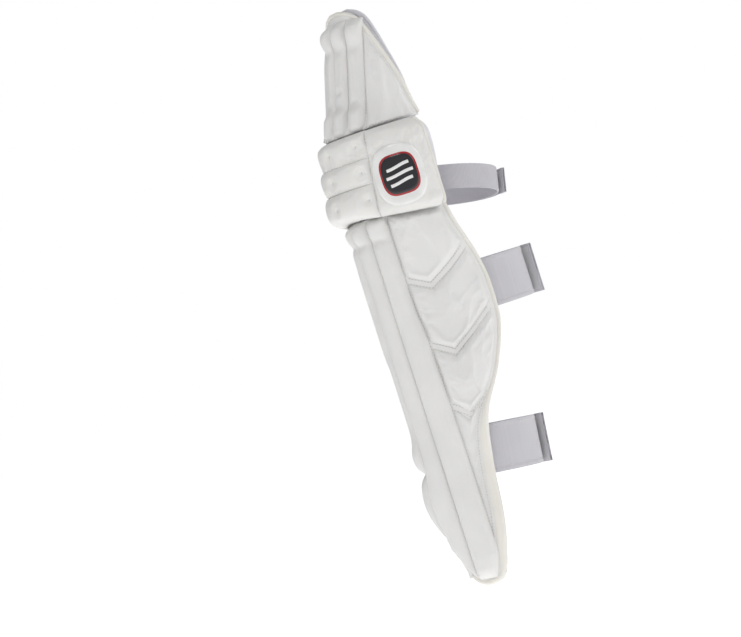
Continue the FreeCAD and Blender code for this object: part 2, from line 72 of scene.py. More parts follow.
# each chevron channel: height at the cane seam, at the point and at the rear edge, and where the point is
OUTER_CHEVRONS = [(384, 369.5, 406, 0.29), (300.5, 284.5, 327, 0.32), (222.5, 205.5, 222, 0.62)]
INNER_CHEVRONS = [(384, 369.5, 400, 0.36), (300.5, 284.5, 318, 0.40), (222.5, 205.5, 214, 0.66)]
CHANNEL = 9.0
BINDING_EXTRA = 8.0           # the binding is this much broader round the ankle
NOTCH_Z = 149.0               # where the inner cane ends above the instep panel
LINING_SEAMS = (-90.0, -60.0, -30.0, 0.0, 30.0, 60.0, 90.0)
KNEE_WING_RISE = 9.0
EDGE_FLAT = 5.0               # flat border between a panel and the piping

KNEE_BOTTOM, KNEE_TOP = 470.0, 572.0
KNEE_WING_DROP = 12.0
KNEE_SEAM_LOW, KNEE_SEAM_HIGH = 34.0, 42.0
# low and high seam, crest radius, and how far the seams lie off the knee's surface
ROLLS = {"knee_roll_bottom": (471.5, 508.5, 100.0, 1.0, 9.5),
         "knee_roll_middle": (508.5, 539.5, 94.5, 9.5, 6.5),
         "knee_roll_top": (539.5, 572, 88.5, 6.5, -5.0)}
KNEE_SEAM_LIFT = 4.5          # the seam between rolls and wings lies this far off the knee's surface
KNEE_WEDGE_LOW, KNEE_WEDGE_HIGH = math.radians(13.5), math.radians(18.5)
TUFT_ANGLES = (-31, 0, 31)
KNEE_REAR = {"outer": 1.0, "inner": -10.0}

PIVOT_Y = -72.0
BADGE_Z = 509.0
BADGE_U = math.radians(60) * KNEE_R      # distance round from the front to the middle of a badge
TOP_LEAN = 17.5
TOP_HEIGHT = 158.0
TOP_OUTER = [(-40, 150), (0, 130), (21, 119), (44, 105), (73, 90), (104, 70), (130, 53), (146, 40),
             (154, 26), (158, 8)]
TOP_INNER_NARROWER = 0.92
LINER_PROUD = 10.0            # the top hat's lining stands out beyond its cover
TOP_PROUD = 0.5               # and this much of that over the top
ROLL_TOP, WING_TOP = 147.0, 130.0
THIGH_CENTRE = 11.0
THIGH_PITCH = 20.0

CLOTH_PRESSURE, CLOTH_FRAMES = 4.0, 18
SHOULDER = 0.85               # how steeply stuffed covers rise from their seams
STITCH_LENGTH, STITCH_PITCH, STITCH_R = 2.5, 3.9, 0.38
WEBBING_THICK = 1.9
TAIL_THICK = 2.0
TAPE_THICK = 0.7
BAR_WRAP = 2.9                # radius at which webbing folds round a ring's bar
BAR_CLEAR = 2.4               # where the fold starts, before or after the bar
RING_DEPTH = 15.0             # from a ring's rear bar to its front bar
TAIL_CLEAR = 5.2              # between the tail's end and the ring's rear bar
LAP = 3.1                     # from the strap's middle to the tail's inner face


# ---------------------------------------------------------------- curves and surfaces
def smooth_line(points, samples=400):
    """A smooth curve through (height, value) points, as sorted heights and their values."""
    pts = np.array(sorted(points), float)
    if len(pts) < 3:
        return pts[:, 0], pts[:, 1]
    padded = np.vstack([2 * pts[0] - pts[1], pts, 2 * pts[-1] - pts[-2]])
    out = []
    for i in range(1, len(padded) - 2):
        p0, p1, p2, p3 = padded[i - 1:i + 3]
        for t in np.linspace(0, 1, samples // len(pts), endpoint=False):
            out.append(0.5 * (2 * p1 + (p2 - p0) * t + (2 * p0 - 5 * p1 + 4 * p2 - p3) * t ** 2
                              + (3 * p1 - p0 - 3 * p2 + p3) * t ** 3))
    out.append(pts[-1])
    out = np.array(out)
    order = np.argsort(out[:, 0])
    return out[order, 0], out[order, 1]


class Line:
    """Distance round the leg as a function of height."""

    def __init__(self, points):
        self.z, self.u = smooth_line(points)

    def __call__(self, z):
        return np.interp(z, self.z, self.u)


def wrap(u, h, z, radius):
    """Surface point: u round the horseshoe from the front, h off the surface, z up. Millimetres."""
    u, h, z = np.broadcast_arrays(np.asarray(u, float), h, z)
    angle = np.clip(u / radius, -HALF_PI, HALF_PI)
    back = np.clip(np.abs(u) - radius * HALF_PI, 0, None)
    r = radius + h
    return np.stack([r * np.sin(angle), -r * np.cos(angle) + back, z], -1)


def lean(points):
    """From the top hat's upright frame to where it leans back."""
    a = math.radians(-TOP_LEAN)
    out = np.array(points, float)
    y, z = out[..., 1] - PIVOT_Y, out[..., 2] - KNEE_TOP
    out[..., 1] = PIVOT_Y + y * math.cos(a) - z * math.sin(a)
    out[..., 2] = KNEE_TOP + y * math.sin(a) + z * math.cos(a)
    return out


def shoulder(distance, width):
    """0 at a seam, rising steeply like stuffed cloth to 1 at width from it."""
    t = 1 - np.clip(distance / width, 0, 1)
    return np.clip(1 - t * t, 0, 1) ** SHOULDER


def dome(distance, steep, wide, share=0.5):
    """Stuffed cover: a steep rise beside the seam, then a slow one towards the middle."""
    return (1 - share) * shoulder(distance, steep) + share * shoulder(distance, wide)


def bump(x, centre, width):
    return np.exp(-((x - centre) / width) ** 2)


# ---------------------------------------------------------------- mesh building
def new_object(name, verts, faces, smooth=True):
    mesh = bpy.data.meshes.new(name)
    mesh.from_pydata([tuple(v) for v in verts], [], faces)
    mesh.validate()
    if smooth:
        mesh.shade_smooth()
    obj = bpy.data.objects.new(name, mesh)
    bpy.context.scene.collection.objects.link(obj)
    return obj


def grid_faces(rows, cols, start=0, flip=False, wrap_cols=False):
    faces = []
    last = cols if wrap_cols else cols - 1
    for i in range(rows - 1):
        for j in range(last):
            k = (j + 1) % cols
            near, far = start + i * cols, start + (i + 1) * cols
            quad = (near + j, near + k, far + k, far + j)
            faces.append(quad[::-1] if flip else quad)
    return faces


def tidy_mesh(obj, distance=0.00005):
    """Merge collapsed points and face everything outwards."""
    bm = bmesh.new()
    bm.from_mesh(obj.data)
    bmesh.ops.remove_doubles(bm, verts=bm.verts, dist=distance)
    bmesh.ops.dissolve_degenerate(bm, edges=bm.edges, dist=distance)
    bmesh.ops.recalc_face_normals(bm, faces=bm.faces)
    bm.to_mesh(obj.data)
    bm.free()
    obj.data.shade_smooth()
    return obj


def spread_field(field, rows, cols, size):
    """Values on a coarse grid, carried over smoothly to a full grid."""
    full_rows, full_cols = size
    part = np.stack([[np.interp(np.arange(full_rows), rows, field[:, j, k]) for j in range(len(cols))]
                     for k in range(3)], -1).transpose(1, 0, 2)
    return np.stack([[np.interp(np.arange(full_cols), cols, part[i, :, k]) for i in range(full_rows)]
                     for k in range(3)], -1)


def stuffed(outer, inner, ease, cap, pins=None, step=2):
    """Cloth simulation of a sewn cover: its border stays on the seams while pressure fills it.

    ease is how much longer the cloth is than the seams it is gathered into; no point moves
    further than cap, in millimetres. pins marks further points that are sewn down."""
    rows = np.unique(np.append(np.arange(0, outer.shape[0], step), outer.shape[0] - 1))
    cols = np.unique(np.append(np.arange(0, outer.shape[1], step), outer.shape[1] - 1))
    start = outer[np.ix_(rows, cols)]
    n, m = len(rows), len(cols)
    normal = np.cross(np.gradient(start, axis=1), np.gradient(start, axis=0))
    facing = np.sum(normal * (start - inner[np.ix_(rows, cols)]))
    faces = grid_faces(n, m, flip=facing > 0)
    obj = new_object("cover_at_work", start.reshape(-1, 3) * MM, faces, smooth=False)
    sewn = np.zeros((n, m), bool)
    sewn[[0, -1], :] = sewn[:, [0, -1]] = True
    narrow = np.linalg.norm(start[:, -1] - start[:, 0], axis=1) < 6.0
    sewn[narrow] = True
    if pins is not None:
        sewn |= pins[np.ix_(rows, cols)]
    obj.vertex_groups.new(name="sewn").add([int(i) for i in np.flatnonzero(sewn)], 1.0, "REPLACE")
    cloth = obj.modifiers.new("cloth", "CLOTH")
    settings = cloth.settings
    settings.quality, settings.mass = 6, 0.3
    settings.tension_stiffness = settings.compression_stiffness = 25.0
    settings.shear_stiffness, settings.bending_stiffness = 8.0, 0.4
    settings.vertex_group_mass = "sewn"
    settings.use_pressure, settings.uniform_pressure_force = True, CLOTH_PRESSURE
    settings.shrink_min = -ease
    settings.effector_weights.gravity = 0
    cloth.collision_settings.use_collision = False
    cloth.point_cache.frame_start, cloth.point_cache.frame_end = 1, CLOTH_FRAMES
    scene = bpy.context.scene
    for step_frame in range(1, CLOTH_FRAMES + 1):
        scene.frame_set(step_frame)
    shaped = obj.evaluated_get(bpy.context.evaluated_depsgraph_get())
    found = np.empty(n * m * 3)
    shaped.data.vertices.foreach_get("co", found)
    bpy.data.objects.remove(obj)
    scene.frame_set(1)
    moved = found.reshape(n, m, 3) / MM - start
    if not np.isfinite(moved).all():
        raise RuntimeError("the cloth simulation of a cover failed")
    out = start - inner[np.ix_(rows, cols)]
    out = out / (np.linalg.norm(out, axis=-1, keepdims=True) + 1e-9)
    swell = np.sum(moved * out, axis=-1, keepdims=True) * out
    moved = swell + 0.35 * (moved - swell)
    length = np.linalg.norm(moved, axis=-1, keepdims=True) + 1e-9
    moved = moved * (cap * np.tanh(length / cap) / length)
    return outer + spread_field(moved, rows, cols, outer.shape[:2])


def pillow(name, outer, inner, ease=0.0, cap=2.5, pins=None):
    """Closed piece from an outer and an inner grid of the same size, in millimetres."""
    if ease:
        outer = stuffed(outer, inner, ease, cap, pins)
    rows, cols, _ = outer.shape
    count = rows * cols
    verts = np.concatenate([outer.reshape(-1, 3), inner.reshape(-1, 3)]) * MM
    faces = grid_faces(rows, cols) + grid_faces(rows, cols, count, flip=True)
    rim = [j for j in range(cols)] + [i * cols + cols - 1 for i in range(1, rows)]
    rim += [(rows - 1) * cols + j for j in range(cols - 2, -1, -1)]
    rim += [i * cols for i in range(rows - 2, 0, -1)]
    for a, b in zip(rim, rim[1:] + rim[:1]):
        faces.append((b, a, a + count, b + count))
    return tidy_mesh(new_object(name, verts, faces))


def tube(name, path, normals, half_across, half_thick, closed=False, sides=14):
    """Bead of oval section along a path; half_across lies in the surface, half_thick off it."""
    path, normals = np.asarray(path, float), np.asarray(normals, float)
    half_across = np.broadcast_to(half_across, len(path))
    half_thick = np.broadcast_to(half_thick, len(path))
    tangent = np.gradient(path, axis=0)
    tangent /= np.linalg.norm(tangent, axis=1)[:, None]
    side = np.cross(tangent, normals)
    side /= np.linalg.norm(side, axis=1)[:, None]
    up = np.cross(side, tangent)
    verts = []
    for p, s, n, a, t in zip(path, side, up, half_across, half_thick):
        for k in range(sides):
            w = 2 * math.pi * k / sides
            verts.append(p + s * (a * math.cos(w)) + n * (t * math.sin(w)))
    faces = grid_faces(len(path), sides, wrap_cols=True)
    if not closed:
        for row in (0, len(path) - 1):
            faces.append(tuple(row * sides + k for k in range(sides)))
    return tidy_mesh(new_object(name, np.array(verts) * MM, faces), 0.00001)


def even_path(points, step):
    """Points at an even spacing along a path, and how far along it each one lies."""
    points = np.asarray(points, float)
    length = np.concatenate([[0], np.cumsum(np.linalg.norm(np.diff(points, axis=0), axis=1))])
    at = np.arange(step / 2, length[-1], step)
    return np.stack([np.interp(at, length, points[:, k]) for k in range(3)], -1), at


class Stitching:
    """Short raised threads gathered into one mesh for each body."""

    def __init__(self):
        self.verts, self.faces = {}, {}

    def sew(self, body, path, normals):
        """Stitches along a path that lies on a surface with the given normals."""
        path, normals = np.asarray(path, float), np.asarray(normals, float)
        spots, at = even_path(path, STITCH_PITCH)
        length = np.concatenate([[0], np.cumsum(np.linalg.norm(np.diff(path, axis=0), axis=1))])
        ups = np.stack([np.interp(at, length, normals[:, k]) for k in range(3)], -1)
        verts = self.verts.setdefault(body, [])
        faces = self.faces.setdefault(body, [])
        ahead = np.gradient(spots, axis=0) if len(spots) > 1 else np.zeros_like(spots)
        for p, t, n in zip(spots, ahead, ups):
            t = t / (np.linalg.norm(t) + 1e-9)
            n = n / np.linalg.norm(n)
            s = np.cross(t, n)
            start = len(verts)
            for along, grow in ((-0.5, 0.35), (-0.32, 0.9), (0, 1.1), (0.32, 0.9), (0.5, 0.35)):
                sink = -0.35 * (abs(along) * 2) ** 2
                for k in range(6):
                    w = math.pi * k / 3
                    offset = s * math.cos(w) * grow + n * (math.sin(w) * grow + sink)
                    verts.append((p + t * (along * STITCH_LENGTH) + offset * STITCH_R) * MM)
            for i in range(4):
                for k in range(6):
                    m = (k + 1) % 6
                    near, far = start + i * 6, start + (i + 1) * 6
                    faces.append((near + k, near + m, far + m, far + k))
            faces.append(tuple(start + k for k in range(5, -1, -1)))
            faces.append(tuple(start + 24 + k for k in range(6)))

    def finish(self, material):
        for body, verts in self.verts.items():
            obj = new_object("stitching_" + body, verts, self.faces[body])
            dress(obj, body, "thread", material)


stitching = Stitching()


# ---------------------------------------------------------------- materials
def node_tree(name):
    mat = bpy.data.materials.new(name)
    mat.use_nodes = True
    nodes, links = mat.node_tree.nodes, mat.node_tree.links
    shader = nodes["Principled BSDF"]
    return mat, nodes, links, shader


def noise(nodes, links, coords, scale, detail=4.0, rough=0.55):
    tex = nodes.new("ShaderNodeTexNoise")
    tex.inputs["Scale"].default_value = scale
    tex.inputs["Detail"].default_value = detail
    tex.inputs["Roughness"].default_value = rough
    links.new(coords.outputs["Object"], tex.inputs["Vector"])
    return tex.outputs["Fac"]


def ramp(nodes, links, source, low, high, p0=0.3, p1=0.7):
    node = nodes.new("ShaderNodeValToRGB")
    node.color_ramp.elements[0].position, node.color_ramp.elements[1].position = p0, p1
    node.color_ramp.elements[0].color = (*low, 1)
    node.color_ramp.elements[1].color = (*high, 1)
    links.new(source, node.inputs["Fac"])
    return node.outputs["Color"]


def bump_node(nodes, links, height, strength, distance, before=None):
    node = nodes.new("ShaderNodeBump")
    node.inputs["Strength"].default_value = strength
    node.inputs["Distance"].default_value = distance
    links.new(height, node.inputs["Height"])
    if before is not None:
        links.new(before, node.inputs["Normal"])
    return node.outputs["Normal"]


def maths(nodes, links, operation, a, b):
    node = nodes.new("ShaderNodeMath")
    node.operation = operation
    for socket, value in zip(node.inputs, (a, b)):
        if isinstance(value, (int, float)):
            socket.default_value = value
        else:
            links.new(value, socket)
    return node.outputs[0]


def pu_leather(name, colour, shade, roughness=0.44, grain=900, wrinkle=0.12, coat=0.08):
    """Coated synthetic leather: fine pebbled grain, faint creases and slight colour drift."""
    mat, nodes, links, shader = node_tree(name)
    coords = nodes.new("ShaderNodeTexCoord")
    drift = noise(nodes, links, coords, 14, 5)
    links.new(ramp(nodes, links, drift, shade, colour, 0.28, 0.62), shader.inputs["Base Color"])
    gloss = noise(nodes, links, coords, 55, 4)
    span = nodes.new("ShaderNodeMapRange")
    span.inputs["To Min"].default_value = roughness - 0.06
    span.inputs["To Max"].default_value = roughness + 0.08
    links.new(gloss, span.inputs["Value"])
    links.new(span.outputs["Result"], shader.inputs["Roughness"])
    cells = nodes.new("ShaderNodeTexVoronoi")
    cells.feature = "SMOOTH_F1"
    cells.inputs["Scale"].default_value = grain
    links.new(coords.outputs["Object"], cells.inputs["Vector"])
    folds = noise(nodes, links, coords, 75, 6, 0.62)
    normal = bump_node(nodes, links, folds, wrinkle, 0.0012)
    normal = bump_node(nodes, links, cells.outputs["Distance"], 0.22, 0.0003, normal)
    links.new(normal, shader.inputs["Normal"])
    shader.inputs["Coat Weight"].default_value = coat
    shader.inputs["Coat Roughness"].default_value = 0.35
    shader.inputs["Subsurface Weight"].default_value = 0.05
    shader.inputs["Subsurface Radius"].default_value = (0.004, 0.003, 0.002)
    shader.inputs["Specular IOR Level"].default_value = 0.45
    return mat


def woven(name, colour, shade, threads=1100, strength=0.5, roughness=0.85, sheen=0.3, slant=0.0):
    """Woven or knitted fabric: two crossed sets of threads with soft fuzz."""
    mat, nodes, links, shader = node_tree(name)
    coords = nodes.new("ShaderNodeTexCoord")
    turn = nodes.new("ShaderNodeMapping")
    turn.inputs["Rotation"].default_value = (slant, 0, slant)
    links.new(coords.outputs["Object"], turn.inputs["Vector"])
    heights = []
    for axis in ("X", "Z", "Y"):
        wave = nodes.new("ShaderNodeTexWave")
        wave.bands_direction = axis
        wave.inputs["Scale"].default_value = threads / 6
        wave.inputs["Distortion"].default_value = 0.6
        wave.inputs["Detail"].default_value = 1.0
        links.new(turn.outputs["Vector"], wave.inputs["Vector"])
        heights.append(wave.outputs["Fac"])
    crossed = maths(nodes, links, "MULTIPLY", heights[0], heights[2])
    weave = maths(nodes, links, "MAXIMUM", heights[1], crossed)
    fuzz = noise(nodes, links, coords, 420, 3)
    drift = noise(nodes, links, coords, 18, 4)
    mixed = maths(nodes, links, "MULTIPLY", weave, 0.35)
    tone = maths(nodes, links, "ADD", mixed, maths(nodes, links, "MULTIPLY", drift, 0.6))
    links.new(ramp(nodes, links, tone, shade, colour, 0.2, 0.6), shader.inputs["Base Color"])
    normal = bump_node(nodes, links, weave, strength, 0.0004)
    normal = bump_node(nodes, links, fuzz, 0.3, 0.0004, normal)
    links.new(normal, shader.inputs["Normal"])
    shader.inputs["Roughness"].default_value = roughness
    shader.inputs["Sheen Weight"].default_value = sheen
    shader.inputs["Sheen Roughness"].default_value = 0.5
    shader.inputs["Specular IOR Level"].default_value = 0.25
    return mat


def moulded(name, colour, roughness=0.3, coat=0.4, scale=60):
    """Moulded plastic with a faint flow texture."""
    mat, nodes, links, shader = node_tree(name)
    coords = nodes.new("ShaderNodeTexCoord")
    drift = noise(nodes, links, coords, scale, 3)
    shade = tuple(c * 0.9 for c in colour)
    links.new(ramp(nodes, links, drift, shade, colour), shader.inputs["Base Color"])
    fine = noise(nodes, links, coords, 700, 2)
    links.new(bump_node(nodes, links, fine, 0.06, 0.0002), shader.inputs["Normal"])
    shader.inputs["Roughness"].default_value = roughness
    shader.inputs["Coat Weight"].default_value = coat
    return mat


PU = pu_leather("pu_face", (0.80, 0.795, 0.785), (0.745, 0.74, 0.728))
PU_ROLL = pu_leather("pu_roll", (0.80, 0.793, 0.773), (0.75, 0.742, 0.722), roughness=0.42)
PIPING = pu_leather("pu_piping", (0.84, 0.82, 0.765), (0.78, 0.76, 0.705), roughness=0.36, wrinkle=0.08,
                    coat=0.15)
LINER = woven("liner", (0.75, 0.745, 0.785), (0.66, 0.655, 0.695), threads=900, strength=0.35)
WEBBING = woven("webbing", (0.61, 0.60, 0.635), (0.53, 0.52, 0.555), threads=1500, strength=0.35)
ELASTIC = woven("elastic", (0.57, 0.56, 0.595), (0.47, 0.46, 0.50), threads=1300, strength=0.7, slant=0.5)
LOOP = woven("loop", (0.74, 0.73, 0.76), (0.62, 0.61, 0.65), threads=600, strength=0.9, sheen=0.6)
HOOK = moulded("hook", (0.70, 0.70, 0.71), 0.6, 0.0, 900)
RING = moulded("ring", (0.80, 0.79, 0.77), 0.28, 0.4)
PATCH = moulded("badge_patch", (0.86, 0.86, 0.85), 0.22, 0.6)
EMBLEM = moulded("badge_emblem", (0.012, 0.012, 0.016), 0.3, 0.5)
RIM_RED = moulded("badge_rim", (0.42, 0.012, 0.018), 0.3, 0.5)
THREAD = woven("thread", (0.66, 0.65, 0.625), (0.54, 0.53, 0.51), threads=3000, strength=0.4)


def dress(obj, body, slot, material, replaces=()):
    """Give a finished piece its body and its material."""
    obj.data.materials.clear()
    obj.data.materials.append(material)
    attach(obj, body)
    if replaces:
        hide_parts(*replaces)
    return obj


# ---------------------------------------------------------------- camera and stage
VIEW_AZIMUTH, VIEW_RISE, VIEW_ROLL = math.radians(60), math.radians(1.0), math.radians(17.5)
DISTANCE, LENS = 3.0, 118.0
AIM_ACROSS, AIM_UP = -0.0854, 0.3527
AMBIENT = 0.365


def add_camera():
    right_level = Vector((math.cos(VIEW_AZIMUTH), math.sin(VIEW_AZIMUTH), 0))
    back = Vector((math.sin(VIEW_AZIMUTH), -math.cos(VIEW_AZIMUTH), math.tan(VIEW_RISE))).normalized()
    up_level = back.cross(right_level)
    up = up_level * math.cos(VIEW_ROLL) + right_level * math.sin(VIEW_ROLL)
    right = right_level * math.cos(VIEW_ROLL) - up_level * math.sin(VIEW_ROLL)
    data = bpy.data.cameras.new("camera")
    data.lens = LENS
    cam = bpy.data.objects.new("camera", data)
    place = right_level * AIM_ACROSS + Vector((0, 0, AIM_UP)) + back * DISTANCE
    turn = Matrix((right, up, back)).transposed().to_4x4()
    cam.matrix_world = Matrix.Translation(place) @ turn
    bpy.context.scene.collection.objects.link(cam)
    bpy.context.scene.camera = cam


def add_area(name, place, target, size, power):
    data = bpy.data.lights.new(name, "AREA")
    data.size, data.energy = size, power
    light = bpy.data.objects.new(name, data)
    light.location = place
    light.rotation_euler = (Vector(target) - Vector(place)).to_track_quat("-Z", "Y").to_euler()
    bpy.context.scene.collection.objects.link(light)


def add_stage():
    bpy.ops.mesh.primitive_circle_add(vertices=96, radius=9.0, fill_type="NGON", location=(0, 0, -0.0006))
    floor = bpy.context.object
    floor.name = "floor"
    mat, nodes, links, shader = node_tree("pale_floor")
    shader.inputs["Base Color"].default_value = (0.9, 0.9, 0.9, 1)
    shader.inputs["Roughness"].default_value = 0.95
    shader.inputs["Emission Color"].default_value = (1, 1, 1, 1)
    shader.inputs["Emission Strength"].default_value = 0.72
    floor.data.materials.append(mat)
    world = bpy.data.worlds.new("studio")
    world.use_nodes = True
    nodes, links = world.node_tree.nodes, world.node_tree.links
    seen = nodes["Background"]
    seen.inputs["Strength"].default_value = 1.0
    seen.inputs["Color"].default_value = (1, 1, 1, 1)
    soft = nodes.new("ShaderNodeBackground")
    soft.inputs["Color"].default_value = (1, 1, 1, 1)
    soft.inputs["Strength"].default_value = AMBIENT
    path, mix = nodes.new("ShaderNodeLightPath"), nodes.new("ShaderNodeMixShader")
    links.new(path.outputs["Is Camera Ray"], mix.inputs["Fac"])
    links.new(soft.outputs[0], mix.inputs[1])
    links.new(seen.outputs[0], mix.inputs[2])
    links.new(mix.outputs[0], nodes["World Output"].inputs["Surface"])
    bpy.context.scene.world = world
    bpy.context.scene.view_settings.view_transform = "Standard"
    target = (0, 0, 0.38)
    add_area("key", (1.9, -0.9, 3.0), target, 0.9, 19)
    add_area("fill", (-0.5, -2.6, 2.4), target, 1.0, 9)
    add_area("back", (1.6, 2.6, 1.6), target, 1.4, 15)


# ---------------------------------------------------------------- shin
TOE_FLARE = 12.0


def wrap_shin(u, h, z):
    """The shin's surface; its lowest part stands off the instep on the inner side."""
    side = np.clip((18.0 - np.asarray(u, float)) / 50.0, 0, 1)
    flare = TOE_FLARE * side * side * (3 - 2 * side) * bump(np.asarray(z, float), 112.0, 42.0)
    return wrap(u, h + flare, z, SHIN_R)


outer_edge, inner_edge = Line(OUTER_EDGE), Line(INNER_EDGE)
seam_c, seam_b, seam_a, seam_d = (Line(p) for p in (SEAM_OUTER, SEAM_B, SEAM_A, SEAM_INNER))


def shin_rows(low, high, step=2.0):
    fine = np.array([0.25, 0.8, 1.8, 3.2, 5.0, 7.0, 9.0])
    rows = np.arange(11.0, high, step)
    rows = np.concatenate([fine, rows, [high]])
    return rows[(rows >= low) & (rows <= high)]


def inside(u, z, margin=0.0):
    low, high = inner_edge(z) + margin, outer_edge(z) - margin
    high = np.maximum(high, low)
    return np.clip(u, low, high)


def make_shin_cover():
    """The flat sewn base that shows in the channels and round the border."""
    z = shin_rows(0, 469)[:, None]
    low, high = inner_edge(z), outer_edge(z)
    u = low + (high - low) * np.linspace(0, 1, 150)[None, :]
    h = -2.6 * (1 - shoulder(np.minimum(u - low, high - u), 6.0))
    cover = pillow("shin_cover", wrap_shin(u, h, z), wrap_shin(u, -4.0, z))
    dress(cover, "shin", "pu_face", PU, ["shin_shell"])


def make_shin_body():
    """Foam core in its textile lining: the back of the pad, quilted, with a rounded rim."""
    z = shin_rows(0, 469)[:, None]
    low, high = inner_edge(z) + 1.2, outer_edge(z) - 1.2
    high = np.maximum(high, low + 0.02)
    u = low + (high - low) * np.linspace(0, 1, 170)[None, :]
    edge = np.minimum(np.minimum(u - low, high - u), 469 - z)
    depth = SHIN_R - LINING_R - 6.0 * (1 - shoulder(edge, 6.0))
    for line in LINING_SEAMS:
        depth = depth - 2.2 * bump(u, line, 3.0)
    body = pillow("shin_lining_body", wrap_shin(u, -4.2, z), wrap_shin(u, -depth, z))
    dress(body, "shin", "liner", LINER, ["shin_lining", "shin_core"])
    for line in LINING_SEAMS:
        rows = np.arange(40, 462, 2.0)
        rows = rows[(line < outer_edge(rows) - 6) & (line > inner_edge(rows) + 6)]
        path = wrap_shin(line, LINING_R - SHIN_R + 1.9, rows)
        stitching.sew("shin", path, wrap_shin(line, LINING_R - SHIN_R + 0.9, rows) - path)


def shin_piece(name, u, rise, z, ease, cap, replaces):
    """Stuffed piece sewn on the shin's base, its cover standing rise above the base."""
    piece = pillow(name, wrap_shin(u, rise + 0.15, z), wrap_shin(u, -1.0, z), ease, cap)
    dress(piece, "shin", "pu_face", PU, replaces)


def make_cane(name, left, right, low, swell):
    """Upright stuffed channel; swell lists extra height as (z, amount, width)."""
    z = shin_rows(low, 468.6, 1.8)[:, None]
    t = np.linspace(-1, 1, 33)[None, :]
    a, b = inside(left(z), z, 7.0), inside(right(z), z, 7.0)
    u = (a + b) / 2 + (b - a) / 2 * t
    rise = CANE_RISE + sum(amount * bump(z, at, width) for at, amount, width in swell)
    rise = rise * shoulder(469 - z, 11.0) * shoulder(z - low + 0.3, 15.0)
    rise = rise * np.clip((b - a) / (right(z) - left(z)), 0, 1) ** 0.6
    section = np.clip(1 - np.abs(t) ** 2.1, 0, 1) ** 0.6
    shin_piece(name + "_cover", u, rise * section, z, 0.003, 0.8, [name])


def make_canes():
    top = [(457, 2.0, 10.0), (440, -2.7, 5.0)]
    for name, left, right, low, swell in (
            ("shin_cane_inner", seam_d, seam_a, NOTCH_Z, top + [(174, 4.0, 14.0)]),
            ("shin_cane_middle", seam_a, seam_b, 9.0, top), ("shin_cane_outer", seam_b, seam_c, 9.0, top)):
        make_cane(name, left, right, low, swell)
    z = shin_rows(22.0, NOTCH_Z - 1.0, 1.8)[:, None]
    t = np.linspace(0, 1, 41)[None, :]
    a, b = inside(seam_d(z) - 22, z, 7.0), inside(seam_a(z), z, 7.0)
    u = a + (b - a) * t
    rise = 7.0 * shoulder(NOTCH_Z - 0.7 - z, 16.0) * shoulder(z - 21.7, 40.0)
    rise = rise * dome(t * (b - a), 9, 26) * dome((1 - t) * (b - a), 6, 16)
    shin_piece("instep_panel_cover", u, rise, z, 0.02, 2.5, [])


def chevron(values, s):
    """Height of a V channel across a wing, s from 0 at the cane seam to 1 at the rear edge."""
    seam, point, rear, at = values
    down = seam + (point - seam) * np.clip(s / at, 0, 1)
    up = (rear - point) * np.clip((s - at) / (1 - at), 0, 1)
    return down + up


def wing_lines(side):
    if side > 0:
        return seam_c, outer_edge, OUTER_CHEVRONS
    return seam_d, inner_edge, INNER_CHEVRONS


def make_wing(side, side_name):
    """Four stuffed panels down one wing, parted by V channels with a row of stitches on each side."""
    seam, edge, chevrons = wing_lines(side)
    top = (466.5, 463.0, 458.0, 0.3)
    lowest = (14.0, 12.0, 8.0, 0.5) if side > 0 else (NOTCH_Z, NOTCH_Z - 4, NOTCH_Z - 8, 0.5)
    half = CHANNEL / 2
    uppers = [top] + [tuple(v - half for v in c[:3]) + c[3:] for c in chevrons]
    lowers = [tuple(v + half for v in c[:3]) + c[3:] for c in chevrons] + [lowest]
    names = ("wing_panel_top", "wing_panel_middle", "wing_panel_lower", "ankle_panel")
    for name, upper, lower in zip(names, uppers, lowers):
        s = np.linspace(0, 1, 64)[None, :]
        t = np.linspace(0, 1, 64)[:, None]
        z = chevron(lower, s) + (chevron(upper, s) - chevron(lower, s)) * t
        border = EDGE_FLAT + 3.2 + BINDING_EXTRA * broad(z)
        rear = edge(z) - side * border
        front = seam(z) + side * 1.2
        rear = np.where(side * (rear - front) < 0.5, front + side * 0.5, rear)
        u = front + (rear - front) * s
        width = np.abs(rear - front)
        height = np.abs(chevron(upper, s) - chevron(lower, s))
        rise = dome(s * width, 7, 40, 0.35) * dome((1 - s) * width, 10, 40, 0.35)
        rise = rise * dome(t * height, 9, 40, 0.3) * dome((1 - t) * height, 10, 40, 0.35)
        amount = 4.2 if name == "ankle_panel" else PANEL_RISE
        node = side_name + "_" + name
        shin_piece(node + "_cover", u, amount * rise, z, 0.012, 2.0, [node])
    s = np.linspace(0.03, 0.93, 120)
    for c in chevrons:
        for offset in (-half + 1.3, half - 0.6):
            z = chevron(tuple(v + offset for v in c[:3]) + c[3:], s)
            u = seam(z) + (edge(z) - side * 5 - seam(z)) * s
            sew_shin(u, z, 0.25)


def sew_shin(u, z, h):
    path = wrap_shin(u, h, z)
    stitching.sew("shin", path, wrap_shin(u, h + 1.0, z) - path)


def broad(z):
    """1 round the ankle and the instep, where the binding is broad, and 0 above."""
    return 1 / (1 + np.exp((z - 205) / 14))


def make_shin_seams():
    for line in (seam_d, seam_a, seam_b, seam_c):
        z = np.arange(26, 462, 2.0)
        z = z[(line(z) < outer_edge(z) - 12) & (line(z) > inner_edge(z) + 12)]
        sew_shin(line(z), z, 0.9)
    z = np.arange(30, 232, 2.0)
    sew_shin(outer_edge(z) - 5.2 - BINDING_EXTRA * broad(z), z, 1.1)


